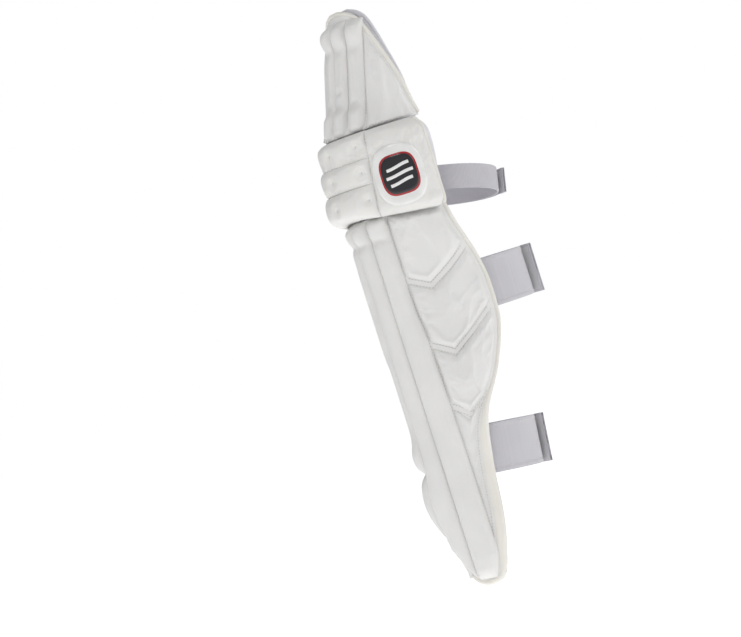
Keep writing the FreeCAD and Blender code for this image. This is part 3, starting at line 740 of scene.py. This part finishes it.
def make_shin_piping():
    """Rolled PU bead round the whole outline, a broad binding round the ankle and the instep."""
    z_up = np.concatenate([[0.0, 0.6, 1.6, 3.2, 5.5, 8.5], np.arange(12, 469, 3.0)])
    z_down = z_up[::-1]
    side = np.concatenate([-np.ones(len(z_down)), np.ones(len(z_up) - 1)])
    z = np.concatenate([z_down, z_up[1:]])
    edge = np.concatenate([inner_edge(z_down), outer_edge(z_up)[1:]])
    wide = broad(z) * np.clip((z - 14) / 30, 0, 1)
    across = 2.8 + 1.3 * np.clip((40 - z) / 30, 0, 1) + BINDING_EXTRA / 2 * wide
    u = edge - side * BINDING_EXTRA / 2 * wide
    lifted = z + 4.4 * np.exp(-z / 12)
    path = wrap_shin(u, -1.7, lifted)
    away = wrap_shin(u, -0.7, lifted) - path
    bead = tube("shin_piping_bead", path, away, across, 3.1, sides=20)
    dress(bead, "shin", "pu_piping", PIPING, ["shin_piping"])


BLOCK_INNER, BLOCK_OUTER = -8.0, -0.2       # faces of the blocks, off the radius of the inside


def soft_block(name, u0, u1, z0, z1, replaces, quilts=0):
    """Stuffed block on the inside of the shin, with level quilting grooves."""
    z = np.linspace(z0, z1, 70)[:, None]
    t = np.linspace(0, 1, 40)[None, :]
    u = u0 + (u1 - u0) * t
    edge = shoulder(np.minimum(u - u0, u1 - u), 9) * shoulder(np.minimum(z - z0, z1 - z), 16)
    grooves = np.linspace(z0, z1, quilts + 2)[1:-1]
    edge = edge * (1 - 0.3 * sum(bump(z, groove, 3) for groove in grooves))
    inner = wrap(u, BLOCK_OUTER + (BLOCK_INNER - BLOCK_OUTER) * edge, z, CUP_R)
    outer = wrap(u, BLOCK_OUTER, z, CUP_R)
    dress(pillow(name, outer, inner), "shin", "liner", LINER, replaces)


def make_inner_padding():
    for name, sign in (("outer_bolster", 1), ("inner_bolster", -1)):
        a, b = sorted((sign * 21.0, sign * 44.0))
        soft_block(name + "_pad", a, b, 211, 439, [name], quilts=3)
    soft_block("instep_pad_cover", -13, 25, 63, 117, ["instep_pad"])


# ---------------------------------------------------------------- knee
def knee_seam_angle(z):
    share = np.clip((z - KNEE_BOTTOM) / (KNEE_TOP - KNEE_BOTTOM), 0, 1)
    return KNEE_SEAM_LOW + (KNEE_SEAM_HIGH - KNEE_SEAM_LOW) * share


def wedge(points, low_margin=0.0, high_margin=0.0):
    """Keep the knee's inner layers out of the two wedges that let the seams flex."""
    behind = np.clip(points[..., 1] - PIVOT_Y, 0, None)
    low = KNEE_BOTTOM + 0.5 + low_margin + behind * math.tan(KNEE_WEDGE_LOW)
    high = KNEE_TOP - 0.5 - high_margin - behind * math.tan(KNEE_WEDGE_HIGH)
    points[..., 2] = low + (high - low) * (points[..., 2] - KNEE_BOTTOM) / (KNEE_TOP - KNEE_BOTTOM)
    return points


def make_knee_base():
    """Covered foam that the rolls and wings are sewn on; it shows in the grooves."""
    t = np.linspace(0, 1, 40)[:, None]
    u = np.radians(np.linspace(-86, 86, 120))[None, :] * KNEE_R
    z = KNEE_BOTTOM + (KNEE_TOP - KNEE_BOTTOM) * t
    edge = shoulder(np.minimum(t, 1 - t) * 100, 5)
    outer = wedge(wrap(u, -0.8 - 4.0 * (1 - edge), z, KNEE_R))
    inner = wedge(wrap(u, -14.5, z, KNEE_R))
    dress(pillow("knee_base_cover", outer, inner), "knee", "pu_face", PU_ROLL, ["knee_core"])


def make_tufts(spots):
    """Small covered buttons pulled into the knee rolls; spots are (angle, height off the surface, z)."""
    verts, faces = [], []
    rings, sides = ((1.7, -0.6), (1.6, 0.15), (1.0, 0.5), (0.05, 0.6)), 14
    upward = np.array([0, 0, 1])
    for angle, h, z in spots:
        centre = wrap(math.radians(angle) * KNEE_R, h, z, KNEE_R)
        out = wrap(math.radians(angle) * KNEE_R, h + 1, z, KNEE_R) - centre
        across = np.array([-out[1], out[0], 0])
        start = len(verts)
        for radius, proud in rings:
            for k in range(sides):
                w = 2 * math.pi * k / sides
                verts.append(centre + out * proud + (across * math.cos(w) + upward * math.sin(w)) * radius)
        faces += grid_faces(len(rings), sides, start, wrap_cols=True)
        faces.append(tuple(start + k for k in range(sides)))
        faces.append(tuple(start + (len(rings) - 1) * sides + k for k in range(sides)))
    buttons = tidy_mesh(new_object("knee_tuft_buttons", np.array(verts) * MM, faces), 0.00001)
    dress(buttons, "knee", "thread", THREAD, ["knee_tufts"])


def make_knee_rolls():
    spots = []
    for name, (low, high, crest, low_seam, high_seam) in ROLLS.items():
        t = np.linspace(0, 1, 46)[:, None]
        s = np.linspace(-1, 1, 130)[None, :]
        foot = low - (5.0 if name == "knee_roll_bottom" else 0.0) * np.abs(s) ** 1.5
        z = foot + (high - foot) * t
        angle = knee_seam_angle(z) * s
        u = np.radians(angle) * KNEE_R
        seam = low_seam + (high_seam - low_seam) * t
        full = (crest - KNEE_R) * (1 - 0.16 * np.abs(s) ** 2.2) - seam
        h = seam + full * np.sqrt(np.clip(1 - np.abs(2 * t - 1) ** 2.2, 0, 1))
        ends = dome((1 - np.abs(s)) * 55, 5, 24, 0.55)
        h = np.minimum(seam, KNEE_SEAM_LIFT) + (h - np.minimum(seam, KNEE_SEAM_LIFT)) * ends
        pins = np.zeros(z.shape, bool)
        for tuft in TUFT_ANGLES:
            away = np.hypot((angle - tuft) * math.radians(1) * crest, z - (low + high) / 2)
            h = h - 1.8 * np.exp(-(away / 6.0) ** 2) - 1.6 * np.exp(-(away / 1.9) ** 2)
            pins |= away < 2.2
            spots.append((tuft, h.flat[np.argmin(away)], (low + high) / 2))
        piece = pillow(name + "_cover", wrap(u, h, z, KNEE_R), wrap(u, -3.5, z, KNEE_R), 0.012, 2.0, pins)
        dress(piece, "knee", "pu_roll", PU_ROLL, [name])
    make_tufts(spots)


def knee_wing_rear(side_name, t):
    """Rear edge of a knee wing, t from 0 at its bottom to 1 at its top; both corners are rounded."""
    rear = KNEE_R * HALF_PI + KNEE_REAR[side_name]
    return rear - 8.0 * (1 - shoulder((1 - t) * 100, 16)) - 4.0 * (1 - shoulder(t * 100, 10))


def make_knee_wing(side, side_name):
    s = np.linspace(0, 1, 90)[None, :]
    t = np.linspace(0, 1, 90)[:, None]
    rear = knee_wing_rear(side_name, t)
    bottom = KNEE_BOTTOM - 3.5 - (KNEE_WING_DROP - 5.0) * np.clip(s * 1.1, 0, 1)
    z = bottom + (KNEE_TOP - 0.4 - bottom) * t
    front = np.radians(knee_seam_angle(z)) * KNEE_R - 0.4
    u = front + (rear - front) * s
    width, height = rear - front, KNEE_TOP - bottom
    rise = dome(s * width, 6, 34) * dome((1 - s) * width, 8, 30, 0.4)
    rise = rise * dome(t * height, 9, 26, 0.35) * dome((1 - t) * height, 7, 32)
    tuck = 7.6 * (1 - shoulder((1 - t) * height, 24)) + 5.0 * (1 - shoulder(t * height, 14))
    h = KNEE_SEAM_LIFT - 0.4 + (KNEE_WING_RISE - KNEE_SEAM_LIFT) * rise - tuck
    badge = np.hypot((u - BADGE_U) / 31, (z - BADGE_Z) / 36) < 1
    wing = pillow("knee_wing_" + side_name + "_cover", wrap(side * u, h, z, KNEE_R),
                  wrap(side * u, np.minimum(h - 2.0, -0.6), z, KNEE_R), 0.012, 2.0, badge)
    dress(wing, "knee", "pu_face", PU_ROLL, ["knee_wing_" + side_name])
    rows = np.arange(KNEE_BOTTOM + 4, KNEE_TOP - 4, 1.5)
    seam = side * (np.radians(knee_seam_angle(rows)) * KNEE_R + 0.8)
    path = wrap(seam, KNEE_SEAM_LIFT + 0.6, rows, KNEE_R)
    stitching.sew("knee", path, wrap(seam, KNEE_SEAM_LIFT + 1.6, rows, KNEE_R) - path)
    t = np.linspace(0.01, 0.985, 60)
    z = KNEE_BOTTOM - KNEE_WING_DROP + 1.5 + (KNEE_TOP - KNEE_BOTTOM + KNEE_WING_DROP - 1.9) * t
    u = side * (knee_wing_rear(side_name, t) + 1.6)
    h = 1.4 - 6.5 * (1 - shoulder((1 - t) * 114, 24))
    path = wrap(u, h, z, KNEE_R)
    bead = tube("knee_piping_" + side_name + "_bead", path, wrap(u, h + 1.0, z, KNEE_R) - path, 2.7, 3.1)
    dress(bead, "knee", "pu_piping", PIPING, ["knee_piping_" + side_name])


def make_knee_cup():
    """Padded cup round the knee; its thick edges stand out behind the wings."""
    t = np.linspace(0, 1, 60)[:, None]
    rear = CUP_R * HALF_PI + 17
    s = np.linspace(-1, 1, 150)[None, :]
    z = KNEE_BOTTOM + (KNEE_TOP - KNEE_BOTTOM) * t
    edge = shoulder(np.minimum(t, 1 - t) * 80, 9) * shoulder((1 - np.abs(s)) * rear, 8)
    quilt = sum(bump(s * rear, line, 3.0) for line in (-52, -26, 0, 26, 52)) * edge
    inner = wedge(wrap(s * rear, 4.5 - 4.5 * edge + 1.6 * quilt, z, CUP_R))
    outer = wedge(wrap(s * rear, 9.8, z, CUP_R))
    cup = pillow("knee_cup_pad", outer, inner)
    dress(cup, "knee", "liner", LINER, ["knee_cup"])
    for side, side_name in ((1, "outer"), (-1, "inner")):
        w = np.linspace(0, 1, 34)[None, :]
        t = np.linspace(0, 1, 70)[:, None]
        proud = 13.0 * shoulder((1 - t) * 100, 26) * shoulder(t * 100 - 4, 70)
        u0, u1 = KNEE_R * HALF_PI - 22, knee_wing_rear(side_name, t) + proud
        u = u0 + (u1 - u0) * w
        edge = shoulder((1 - w) * 34, 7) * shoulder(np.minimum(t, 1 - t) * 90, 8)
        z = KNEE_BOTTOM + 4 + (KNEE_TOP - KNEE_BOTTOM - 4.5) * t
        outer = wrap(side * u, -4.0 + 3.2 * edge, z, KNEE_R)
        inner = wrap(side * u, -4.6 - 0.8 * edge, z, KNEE_R)
        dress(pillow("knee_side_pad_" + side_name, outer, inner), "knee", "liner", LINER, ())


def make_gussets():
    """Soft textile that joins the lining across each flex seam."""
    s = np.linspace(-1, 1, 140)[None, :]
    t = np.linspace(0, 1, 26)[:, None]
    u = s * (CUP_R * HALF_PI + 3.0)
    flat = wrap(u, 0, 0, CUP_R)
    behind = np.clip(flat[..., 1] - PIVOT_Y, 0, None)
    above_shin = KNEE_BOTTOM + 5 + behind * math.tan(KNEE_WEDGE_LOW)
    below_top = KNEE_TOP - 5 - behind * math.tan(KNEE_WEDGE_HIGH)
    for name, a, b, low, high, seam, reach in (
            ("knee_gusset", "shin", "knee", KNEE_BOTTOM - 7 + 0 * behind, above_shin, KNEE_BOTTOM, 16),
            ("top_gusset", "knee", "top_hat", below_top, KNEE_TOP + 8 + 0 * behind, KNEE_TOP, 5)):
        z = low + (high - low) * t
        fold = 2.4 * np.sin(math.pi * t) * np.clip(behind / 60, 0, 1)
        outer, inner = wrap(u, 6.5 - fold, z, CUP_R), wrap(u, 2.6 - fold, z, CUP_R)
        piece = pillow(name, outer, inner)
        piece.data.materials.append(LINER)
        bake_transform(piece)


def make_badge(side, side_name):
    """Raised oval patch with a plain banded emblem on it."""
    def plate(name, half_w, half_h, base, thick, power, material, slot, replaces):
        w = np.linspace(0, 2 * math.pi, 97)[None, :-1]
        r = np.concatenate([np.linspace(0.02, 0.9, 9), [0.94, 0.975, 0.995, 1.0]])[:, None]
        across = half_w * r * np.sign(np.cos(w)) * np.abs(np.cos(w)) ** (2 / power)
        up = half_h * r * np.sign(np.sin(w)) * np.abs(np.sin(w)) ** (2 / power)
        u = side * (BADGE_U + across * KNEE_R / (KNEE_R + base))
        h = base + thick * shoulder((1 - r) * half_w, 2.0 * thick)
        top = wrap(u, h, BADGE_Z + up, KNEE_R)
        rows, cols, _ = top.shape
        verts = list(top.reshape(-1, 3))
        under = wrap(u[-1], base - 0.8, BADGE_Z + up[-1], KNEE_R)
        verts += list(under)
        faces = grid_faces(rows, cols, wrap_cols=True)
        last = (rows - 1) * cols
        for j in range(cols):
            k = (j + 1) % cols
            faces.append((last + j, last + k, rows * cols + k, rows * cols + j))
        faces.append(tuple(range(cols)))
        faces.append(tuple(rows * cols + j for j in range(cols)))
        obj = tidy_mesh(new_object(name, np.array(verts) * MM, faces), 0.00001)
        return dress(obj, "knee", slot, material, replaces)
    plate("badge_patch_" + side_name + "_plate", 32, 37, 8.8, 1.8, 2.6, PATCH, "badge_patch",
          ["badge_patch_" + side_name])
    plate("badge_rim_" + side_name, 23.5, 25.5, 10.4, 0.7, 3.2, RIM_RED, "badge_emblem", ())
    plate("badge_emblem_" + side_name + "_plate", 21.6, 23.6, 10.7, 1.0, 3.2, EMBLEM, "badge_emblem",
          ["badge_emblem_" + side_name])
    for k, (height, half) in enumerate(((9.5, 12.5), (0.0, 15.0), (-9.5, 12.5))):
        u = BADGE_U + np.linspace(-half, half, 30)
        z = BADGE_Z + height + 2.2 * np.sin(np.linspace(-1.6, 1.6, 30))
        path = wrap(side * u, 11.7, z, KNEE_R)
        bar = tube("badge_bar_%s_%d" % (side_name, k), path, wrap(side * u, 12.7, z, KNEE_R) - path, 1.9, 0.5)
        dress(bar, "knee", "badge_patch", PATCH)


# ---------------------------------------------------------------- top hat
def top_edge(side):
    line = Line(TOP_OUTER)
    scale = 1.0 if side > 0 else TOP_INNER_NARROWER
    return lambda h: line(h) * scale


def top_seam(u):
    """Height in the upright frame of the seam where the leaning top hat meets the knee."""
    return (wrap(u, 0, 0, TOP_R)[..., 1] - PIVOT_Y) * math.tan(math.radians(TOP_LEAN)) + 0.4


def top_grid(left, right, high, rows, cols, across_to_u):
    """Grid over part of the top hat, from its seam up to high; left and right bound u."""
    r = np.linspace(0, 1, rows)[:, None]
    r = r + 0.09 * np.sin(math.pi * r) * r
    t = np.linspace(0, 1, cols)[None, :]
    h = high * r + 0 * t
    for _ in range(8):
        u = across_to_u(left(h), right(h), t)
        low = top_seam(u)
        h = low + (high - low) * r
    return u, h


def place_top(u, off, h):
    """Point of the leaning top hat; nothing of it goes below the seam it shares with the knee."""
    points = lean(wrap(u, off, KNEE_TOP + h, TOP_R))
    points[..., 2] = np.maximum(points[..., 2], KNEE_TOP + 0.3)
    return points


def sew_top(u, h, off):
    path = place_top(u, off, h)
    stitching.sew("top_hat", path, place_top(u, off + 1.0, h) - path)


def seam_flare(u, h, from_edge):
    """The cover flares out to meet the thicker knee; less to the rear, where it slides inside the knee."""
    behind = np.clip((wrap(u, 0, 0, TOP_R)[..., 1] - PIVOT_Y) / 60, 0, 1)
    return (7.0 - 5.6 * behind) * bump(h - top_seam(u), 0, 14) * shoulder(np.clip(from_edge, 0, None), 45)


def spread_out(grow, h):
    """How far the outline is let out sideways: nothing at the seam, all of it higher up."""
    return grow * 0.85 * (shoulder(np.clip(h - 22, 0, None), 55) if grow > 0 else 1.0)


def let_out(side, grow, top):
    """The top hat's outline on one side, let out by grow and stretched up to the height top."""
    line = top_edge(side)
    return lambda h: side * (line(h * TOP_HEIGHT / top) + spread_out(grow, h))


def evenly(left, right, share):
    return left + (right - left) * share


def make_top_layers():
    for name, grow, front, back, slot, material, node in (
            ("top_cover", 0.0, 0.0, -3.4, "pu_face", PU, "top_shell"),
            ("top_core_pad", -5.0, -3.6, -9.6, "liner", LINER, "top_core"),
            ("top_liner_sheet", LINER_PROUD, -12.4, -13.6, "liner", LINER, "top_liner")):
        top = TOP_HEIGHT + grow * TOP_PROUD
        left, right = let_out(-1, grow, top), let_out(1, grow, top)
        u, h = top_grid(left, right, top - 0.2, 90, 130, evenly)
        edge = np.minimum(np.minimum(u - left(h), right(h) - u), (top - h) * 1.3)
        if name == "top_cover":
            outer, inner = front - 2.2 * (1 - shoulder(edge, 6)) + seam_flare(u, h, edge), back + 0 * u
        elif name == "top_core_pad":
            outer, inner = front - 2.5 * (1 - shoulder(edge, 5)), back + 2.5 * (1 - shoulder(edge, 5))
        else:
            ripple = 0.9 * np.sin(h / 11.0 + 2.0 * np.sin(h / 27.0)) * bump(edge, 0, 14)
            padding = 2.6 * shoulder(edge, 6) - 1.6 * shoulder(edge - 10, 5)
            outer, inner = front + padding + ripple, back - 0.6 * padding + ripple
        piece = pillow(name, place_top(u, outer, h), place_top(u, inner, h))
        dress(piece, "top_hat", slot, material, [node])


def top_piece(name, u, off, h, ease, cap):
    """Stuffed piece sewn on the top hat's cover, in place of the node of that name."""
    piece = pillow(name + "_cover", place_top(u, off, h), place_top(u, -1.0, h), ease, cap)
    dress(piece, "top_hat", "pu_face", PU, [name])


def make_thigh_rolls():
    seams = [THIGH_CENTRE + THIGH_PITCH * k for k in (-1.5, -0.5, 0.5, 1.5)]
    for name, a0, a1 in zip(("inner", "middle", "outer"), seams, seams[1:]):
        lines = [lambda h, a=a: np.radians(a) * TOP_R + 0 * h for a in (a0, a1)]
        u, h = top_grid(*lines, ROLL_TOP, 110, 37, lambda a, b, t: (a + b) / 2 + (b - a) * (t - 0.5) * 0.985)
        w = np.linspace(-1, 1, 37)[None, :]
        rise = 5.8 + 7.2 * bump(h, 130, 14) - 2.2 * bump(h, 111, 6.5)
        rise = rise + 6.4 / (1 + np.exp((h - 33) / 3.0)) - 1.6 * bump(h, 42, 6)
        rise = rise * shoulder(ROLL_TOP - h, 13) * (0.35 + 0.65 * shoulder(h - top_seam(u) + 0.5, 7))
        off = rise * np.clip(1 - np.abs(w) ** 2.1, 0, 1) ** 0.68 + 0.2
        if name == "middle":
            off = off - 1.8 * np.exp(-((h - 58) / 3.6) ** 2 - (w / 0.35) ** 2)
        top_piece("thigh_roll_" + name, u, off, h, 0.003, 0.8)
    for angle in seams:
        h = np.arange(4, 140, 1.8)
        sew_top(np.radians(angle) * TOP_R + 0 * h, h, 0.7)
    return seams[0], seams[-1]


def make_top_wing(side, side_name, seam_angle):
    edge_line = top_edge(side)
    front = math.radians(abs(seam_angle)) * TOP_R + 1.0
    u, h = top_grid(lambda h: front + 0 * h, lambda h: np.maximum(edge_line(h) - 6.0, front + 0.4), WING_TOP,
                    80, 50, lambda a, b, t: side * (a + (b - a) * t))
    from_front = np.abs(u) - front
    from_rear = edge_line(h) - 6.0 - np.abs(u)
    rise = dome(from_front, 6, 24) * dome(np.clip(from_rear, 0, None), 9, 30, 0.4)
    rise = rise * shoulder(WING_TOP - h, 20) * dome(h - top_seam(u), 4, 18, 0.4)
    off = 5.2 * rise + 0.15 + seam_flare(u, h, from_rear)
    top_piece("top_wing_" + side_name, u, off, h, 0.01, 2.0)


def outline_path(grow, off, low_gap):
    """The top hat's outline from one end of the knee seam over the top to the other."""
    right, left = top_edge(1), top_edge(-1)
    h = np.concatenate([np.arange(-30, 150, 1.5), [152, 154, 155.5, 156.6, 157.4, 158]])
    u = np.concatenate([-left(h) - spread_out(grow, h), (right(h) + spread_out(grow, h))[::-1]])
    h = np.concatenate([h, h[::-1]]) * (TOP_HEIGHT + grow * TOP_PROUD) / TOP_HEIGHT
    path = lean(wrap(u, off, KNEE_TOP + h, TOP_R))
    away = lean(wrap(u, off + 1.0, KNEE_TOP + h, TOP_R)) - path
    keep = path[:, 2] > KNEE_TOP + low_gap
    return path[keep], away[keep]


def make_top_hat():
    make_top_layers()
    first, last = make_thigh_rolls()
    make_top_wing(1, "outer", last)
    make_top_wing(-1, "inner", first)
    path, away = outline_path(0.0, -1.2, 2.6)
    dress(tube("top_piping_bead", path, away, 2.7, 2.9), "top_hat", "pu_piping", PIPING, ["top_piping"])
    path, away = outline_path(LINER_PROUD - 1.5, -11.6, 3.5)
    dress(tube("top_liner_rim", path, away, 2.2, 2.6), "top_hat", "liner", LINER, ())
    for side, start in ((1, 42), (-1, 20)):
        u = side * np.arange(start, 118, 1.6)
        h = top_seam(u) + 2.2
        from_rear = top_edge(side)(h) - 6.0 - np.abs(u)
        u, h, from_rear = (values[from_rear > 18] for values in (u, h, from_rear))
        sew_top(u, h, 3.5 + seam_flare(u, h, from_rear))


# ---------------------------------------------------------------- straps
class Loop:
    """A strap seen from above: an arc round the back of the leg from the outer wing to its ring."""

    def __init__(self, name, start, rear, ring_angle, tail_angle, z0, z1, slope, tab_rear, lift,
                 material, slot):
        self.lift = lift
        self.name, self.start, self.z0, self.z1, self.tab_rear = name, start, z0, z1, tab_rear
        self.slope, self.material, self.slot = math.radians(slope), material, slot
        x, y = start
        self.centre = (rear * rear - x * x - y * y) / (2 * (rear - y))
        self.radius = rear - self.centre
        self.ring_angle, self.tail_angle = ring_angle, tail_angle
        self.start_angle = math.degrees(math.atan2(x, self.centre - y))

    def tilt(self, points):
        y, z = points[..., 1] - self.start[1], points[..., 2] - (self.z0 + self.z1) / 2
        c, s = math.cos(self.slope), math.sin(self.slope)
        out = np.array(points, float)
        out[..., 1] = self.start[1] + y * c - z * s
        out[..., 2] = (self.z0 + self.z1) / 2 + y * s + z * c
        return out

    def degrees(self, millimetres):
        return math.degrees(millimetres / self.radius)

    def curl(self, angles):
        """How far the free end of the tail bends away from the strap."""
        return self.lift * np.clip(1 - (angles - self.tail_angle) / self.degrees(19), 0, 1) ** 1.6


LOOPS = (
    Loop("knee", (54.7, 21.0), 127.0, 264.0, 152.0, 477.0, 508.0, -13.7, 21.0, 5.0, ELASTIC, "elastic"),
    Loop("calf", (54.7, 36.0), 127.0, 262.0, 150.0, 321.0, 383.0, 0.0, 7.9, 9.0, WEBBING, "webbing"),
    Loop("ankle", (49.2, -24.0), 69.5, 281.0, 150.0, 129.0, 190.0, -7.0, -24.0, 7.0, WEBBING, "webbing"),
)


def band(name, centre_line, normal, z_low, z_high, thick, tilt, hem=0.0):
    """Webbing: a strip of given height along a line seen from above, with thicker hems."""
    parts = (np.linspace(0, 0.14, 8), np.linspace(0.16, 0.84, 16), np.linspace(0.86, 1, 8))
    t = np.concatenate(parts)[:, None]
    z = z_low + (z_high - z_low) * t
    across = np.minimum(t, 1 - t) * (z_high - z_low)
    lip = hem * (np.clip((5.5 - across) / 1.2, 0, 1)) * np.clip(across / 0.5, 0.3, 1)
    half = np.full(t.shape, thick / 2)
    line, out = centre_line[None, :, :], normal[None, :, :]
    up = np.zeros((len(t), len(centre_line), 3))
    up[..., 2] = z
    outer = line + out * (half + lip)[..., None] + up
    inner = line - out * half[..., None] + up
    strip = pillow(name, tilt(outer), tilt(inner))
    strip.data.set_sharp_from_angle(angle=math.radians(50))
    return strip


def arc_line(loop, angles, off):
    a = np.radians(angles)
    normal = np.stack([np.sin(a), -np.cos(a), 0 * a], -1)
    line = normal * np.reshape(loop.radius + off + 0 * a, (-1, 1))
    line[:, 1] += loop.centre
    return line, normal


def line_normals(points):
    along = np.gradient(points, axis=0)
    normal = np.stack([along[:, 1], -along[:, 0], 0 * along[:, 0]], -1)
    return normal / np.linalg.norm(normal, axis=1)[:, None]


def sewn_root(loop, side, rear):
    """Webbing sewn under a wing: front to back on the outer side (1), back to front on the inner (-1)."""
    if loop.start[1] > 0:
        root = np.stack([np.full(8, side * STRAP_R), np.linspace(2.0, rear, 8), np.zeros(8)], -1)
    else:
        last = math.degrees(math.atan2(loop.start[0], -loop.start[1]))
        ang = np.radians(np.linspace(last - 18, last - 2, 8))
        root = np.stack([side * STRAP_R * np.sin(ang), -STRAP_R * np.cos(ang), 0 * ang], -1)
    return root[::side]


def make_strap(loop, body, z0, z1, hem):
    """From under the outer wing, round the back of the leg, to a fold round the ring's rear bar."""
    last = loop.ring_angle - loop.degrees(BAR_CLEAR)
    arc, _ = arc_line(loop, np.linspace(loop.start_angle + 2, last, 110), 0.0)
    wrapped = around(loop_bar(loop, loop.ring_angle), arc[-1], BAR_WRAP, 1)
    line = np.concatenate([sewn_root(loop, 1, loop.start[1] - 3), arc, wrapped])
    strap = band(loop.name + "_strap_band", line, line_normals(line), z0, z1, WEBBING_THICK, loop.tilt, hem)
    dress(strap, body, loop.slot, loop.material, [loop.name + "_strap"])


def make_ring_tab(loop, body, z0, z1, hem):
    """From a fold round the ring's front bar to under the inner wing."""
    front_bar = loop.ring_angle + loop.degrees(RING_DEPTH)
    first = front_bar + loop.degrees(BAR_CLEAR)
    start = arc_line(loop, np.array([first]), 0.0)[0][0]
    wrapped = around(loop_bar(loop, front_bar), start, BAR_WRAP, -1)[::-1]
    root = sewn_root(loop, -1, loop.tab_rear)
    if loop.start[1] > 0:
        along = np.linspace(start, root[0], 14)[:-1]
    else:
        along, _ = arc_line(loop, np.linspace(first, 358 - loop.start_angle, 12), 0.0)
    line = np.concatenate([wrapped, along, root])
    tab = band(loop.name + "_ring_tab_band", line, line_normals(line), z0, z1, WEBBING_THICK, loop.tilt, hem)
    dress(tab, body, loop.slot, loop.material, [loop.name + "_ring_tab"])


def make_tail(loop, body, z0, z1, hem):
    """From the ring back over the strap, with a folded free end and the tapes that close it."""
    tail_body = loop.name + "_tail"
    angles = np.linspace(loop.tail_angle, loop.ring_angle - loop.degrees(TAIL_CLEAR), 90)
    line, normal = arc_line(loop, angles, LAP + 1.1 + loop.curl(angles))
    tail = band(loop.name + "_strap_tail_band", line, normal, z0, z1, TAIL_THICK, loop.tilt, hem)
    dress(tail, tail_body, loop.slot, loop.material, [loop.name + "_strap_tail"])
    fold = angles < loop.tail_angle + loop.degrees(15.0)
    end = band(loop.name + "_tail_fold", line[fold], normal[fold], z0 - 0.4, z1 + 0.4, 3.3, loop.tilt)
    dress(end, tail_body, loop.slot, loop.material)
    if hem:
        shown = np.linspace(loop.start_angle + 4, loop.tail_angle - 1, 60)
        stitch_hems(loop, body, arc_line(loop, shown, 0.0))
        stitch_hems(loop, tail_body, (line[~fold], normal[~fold]))
    patch = np.linspace(loop.tail_angle + 2, loop.tail_angle + loop.degrees(55.0), 40)
    hook_off = LAP - 0.35 + loop.curl(patch)
    for kind, off, who, mat in (("hook", hook_off, tail_body, HOOK), ("loop", 1.5, body, LOOP)):
        line, normal = arc_line(loop, patch, off)
        piece = band(loop.name + "_" + kind + "_tape", line, normal, z0 + 3, z1 - 3, TAPE_THICK, loop.tilt)
        dress(piece, who, kind, mat, [loop.name + "_" + kind + "_patch"])


def show_in(node_name, material):
    """Give a node of the frame that stays visible its material."""
    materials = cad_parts[node_name].data.materials
    materials.clear()
    materials.append(material)


def make_straps():
    for loop in LOOPS:
        body = "knee" if loop.name == "knee" else "shin"
        hem = 0.0 if loop.name == "knee" else 0.55
        z0, z1 = loop.z0 + 0.5, loop.z1 - 0.5
        make_strap(loop, body, z0, z1, hem)
        make_ring_tab(loop, body, z0, z1, hem)
        show_in(loop.name + "_ring", RING)
        make_tail(loop, body, z0, z1, hem)


def stitch_hems(loop, body, arc):
    """A row of stitches along each hem, on the outside of the webbing."""
    line, normal = arc
    for z in (loop.z0 + 4.5, loop.z1 - 4.5):
        path = line + normal * 1.4 + np.array([0, 0, z])
        stitching.sew(body, loop.tilt(path), loop.tilt(path + normal) - loop.tilt(path))


def loop_bar(loop, angle):
    a = math.radians(angle)
    return np.array([loop.radius * math.sin(a), loop.centre - loop.radius * math.cos(a), 0.0])


def around(bar, start, radius, turn):
    """Path of webbing folded round a ring's bar, starting beside it."""
    begin = start - bar
    first = math.atan2(begin[1], begin[0])
    out = []
    for k in range(1, 12):
        a = first + turn * (math.pi * 1.55) * k / 11
        out.append(bar + radius * np.array([math.cos(a), math.sin(a), 0]))
    return np.array(out)


# ---------------------------------------------------------------- build
add_camera()
add_stage()
make_shin_cover()
make_shin_body()
make_canes()
make_wing(1, "outer")
make_wing(-1, "inner")
make_shin_seams()
make_shin_piping()
make_inner_padding()
make_knee_base()
make_knee_rolls()
make_knee_wing(1, "outer")
make_knee_wing(-1, "inner")
make_knee_cup()
make_gussets()
make_badge(1, "outer")
make_badge(-1, "inner")
make_top_hat()
make_straps()
stitching.finish(THREAD)
show_in("cane_rods", PU)
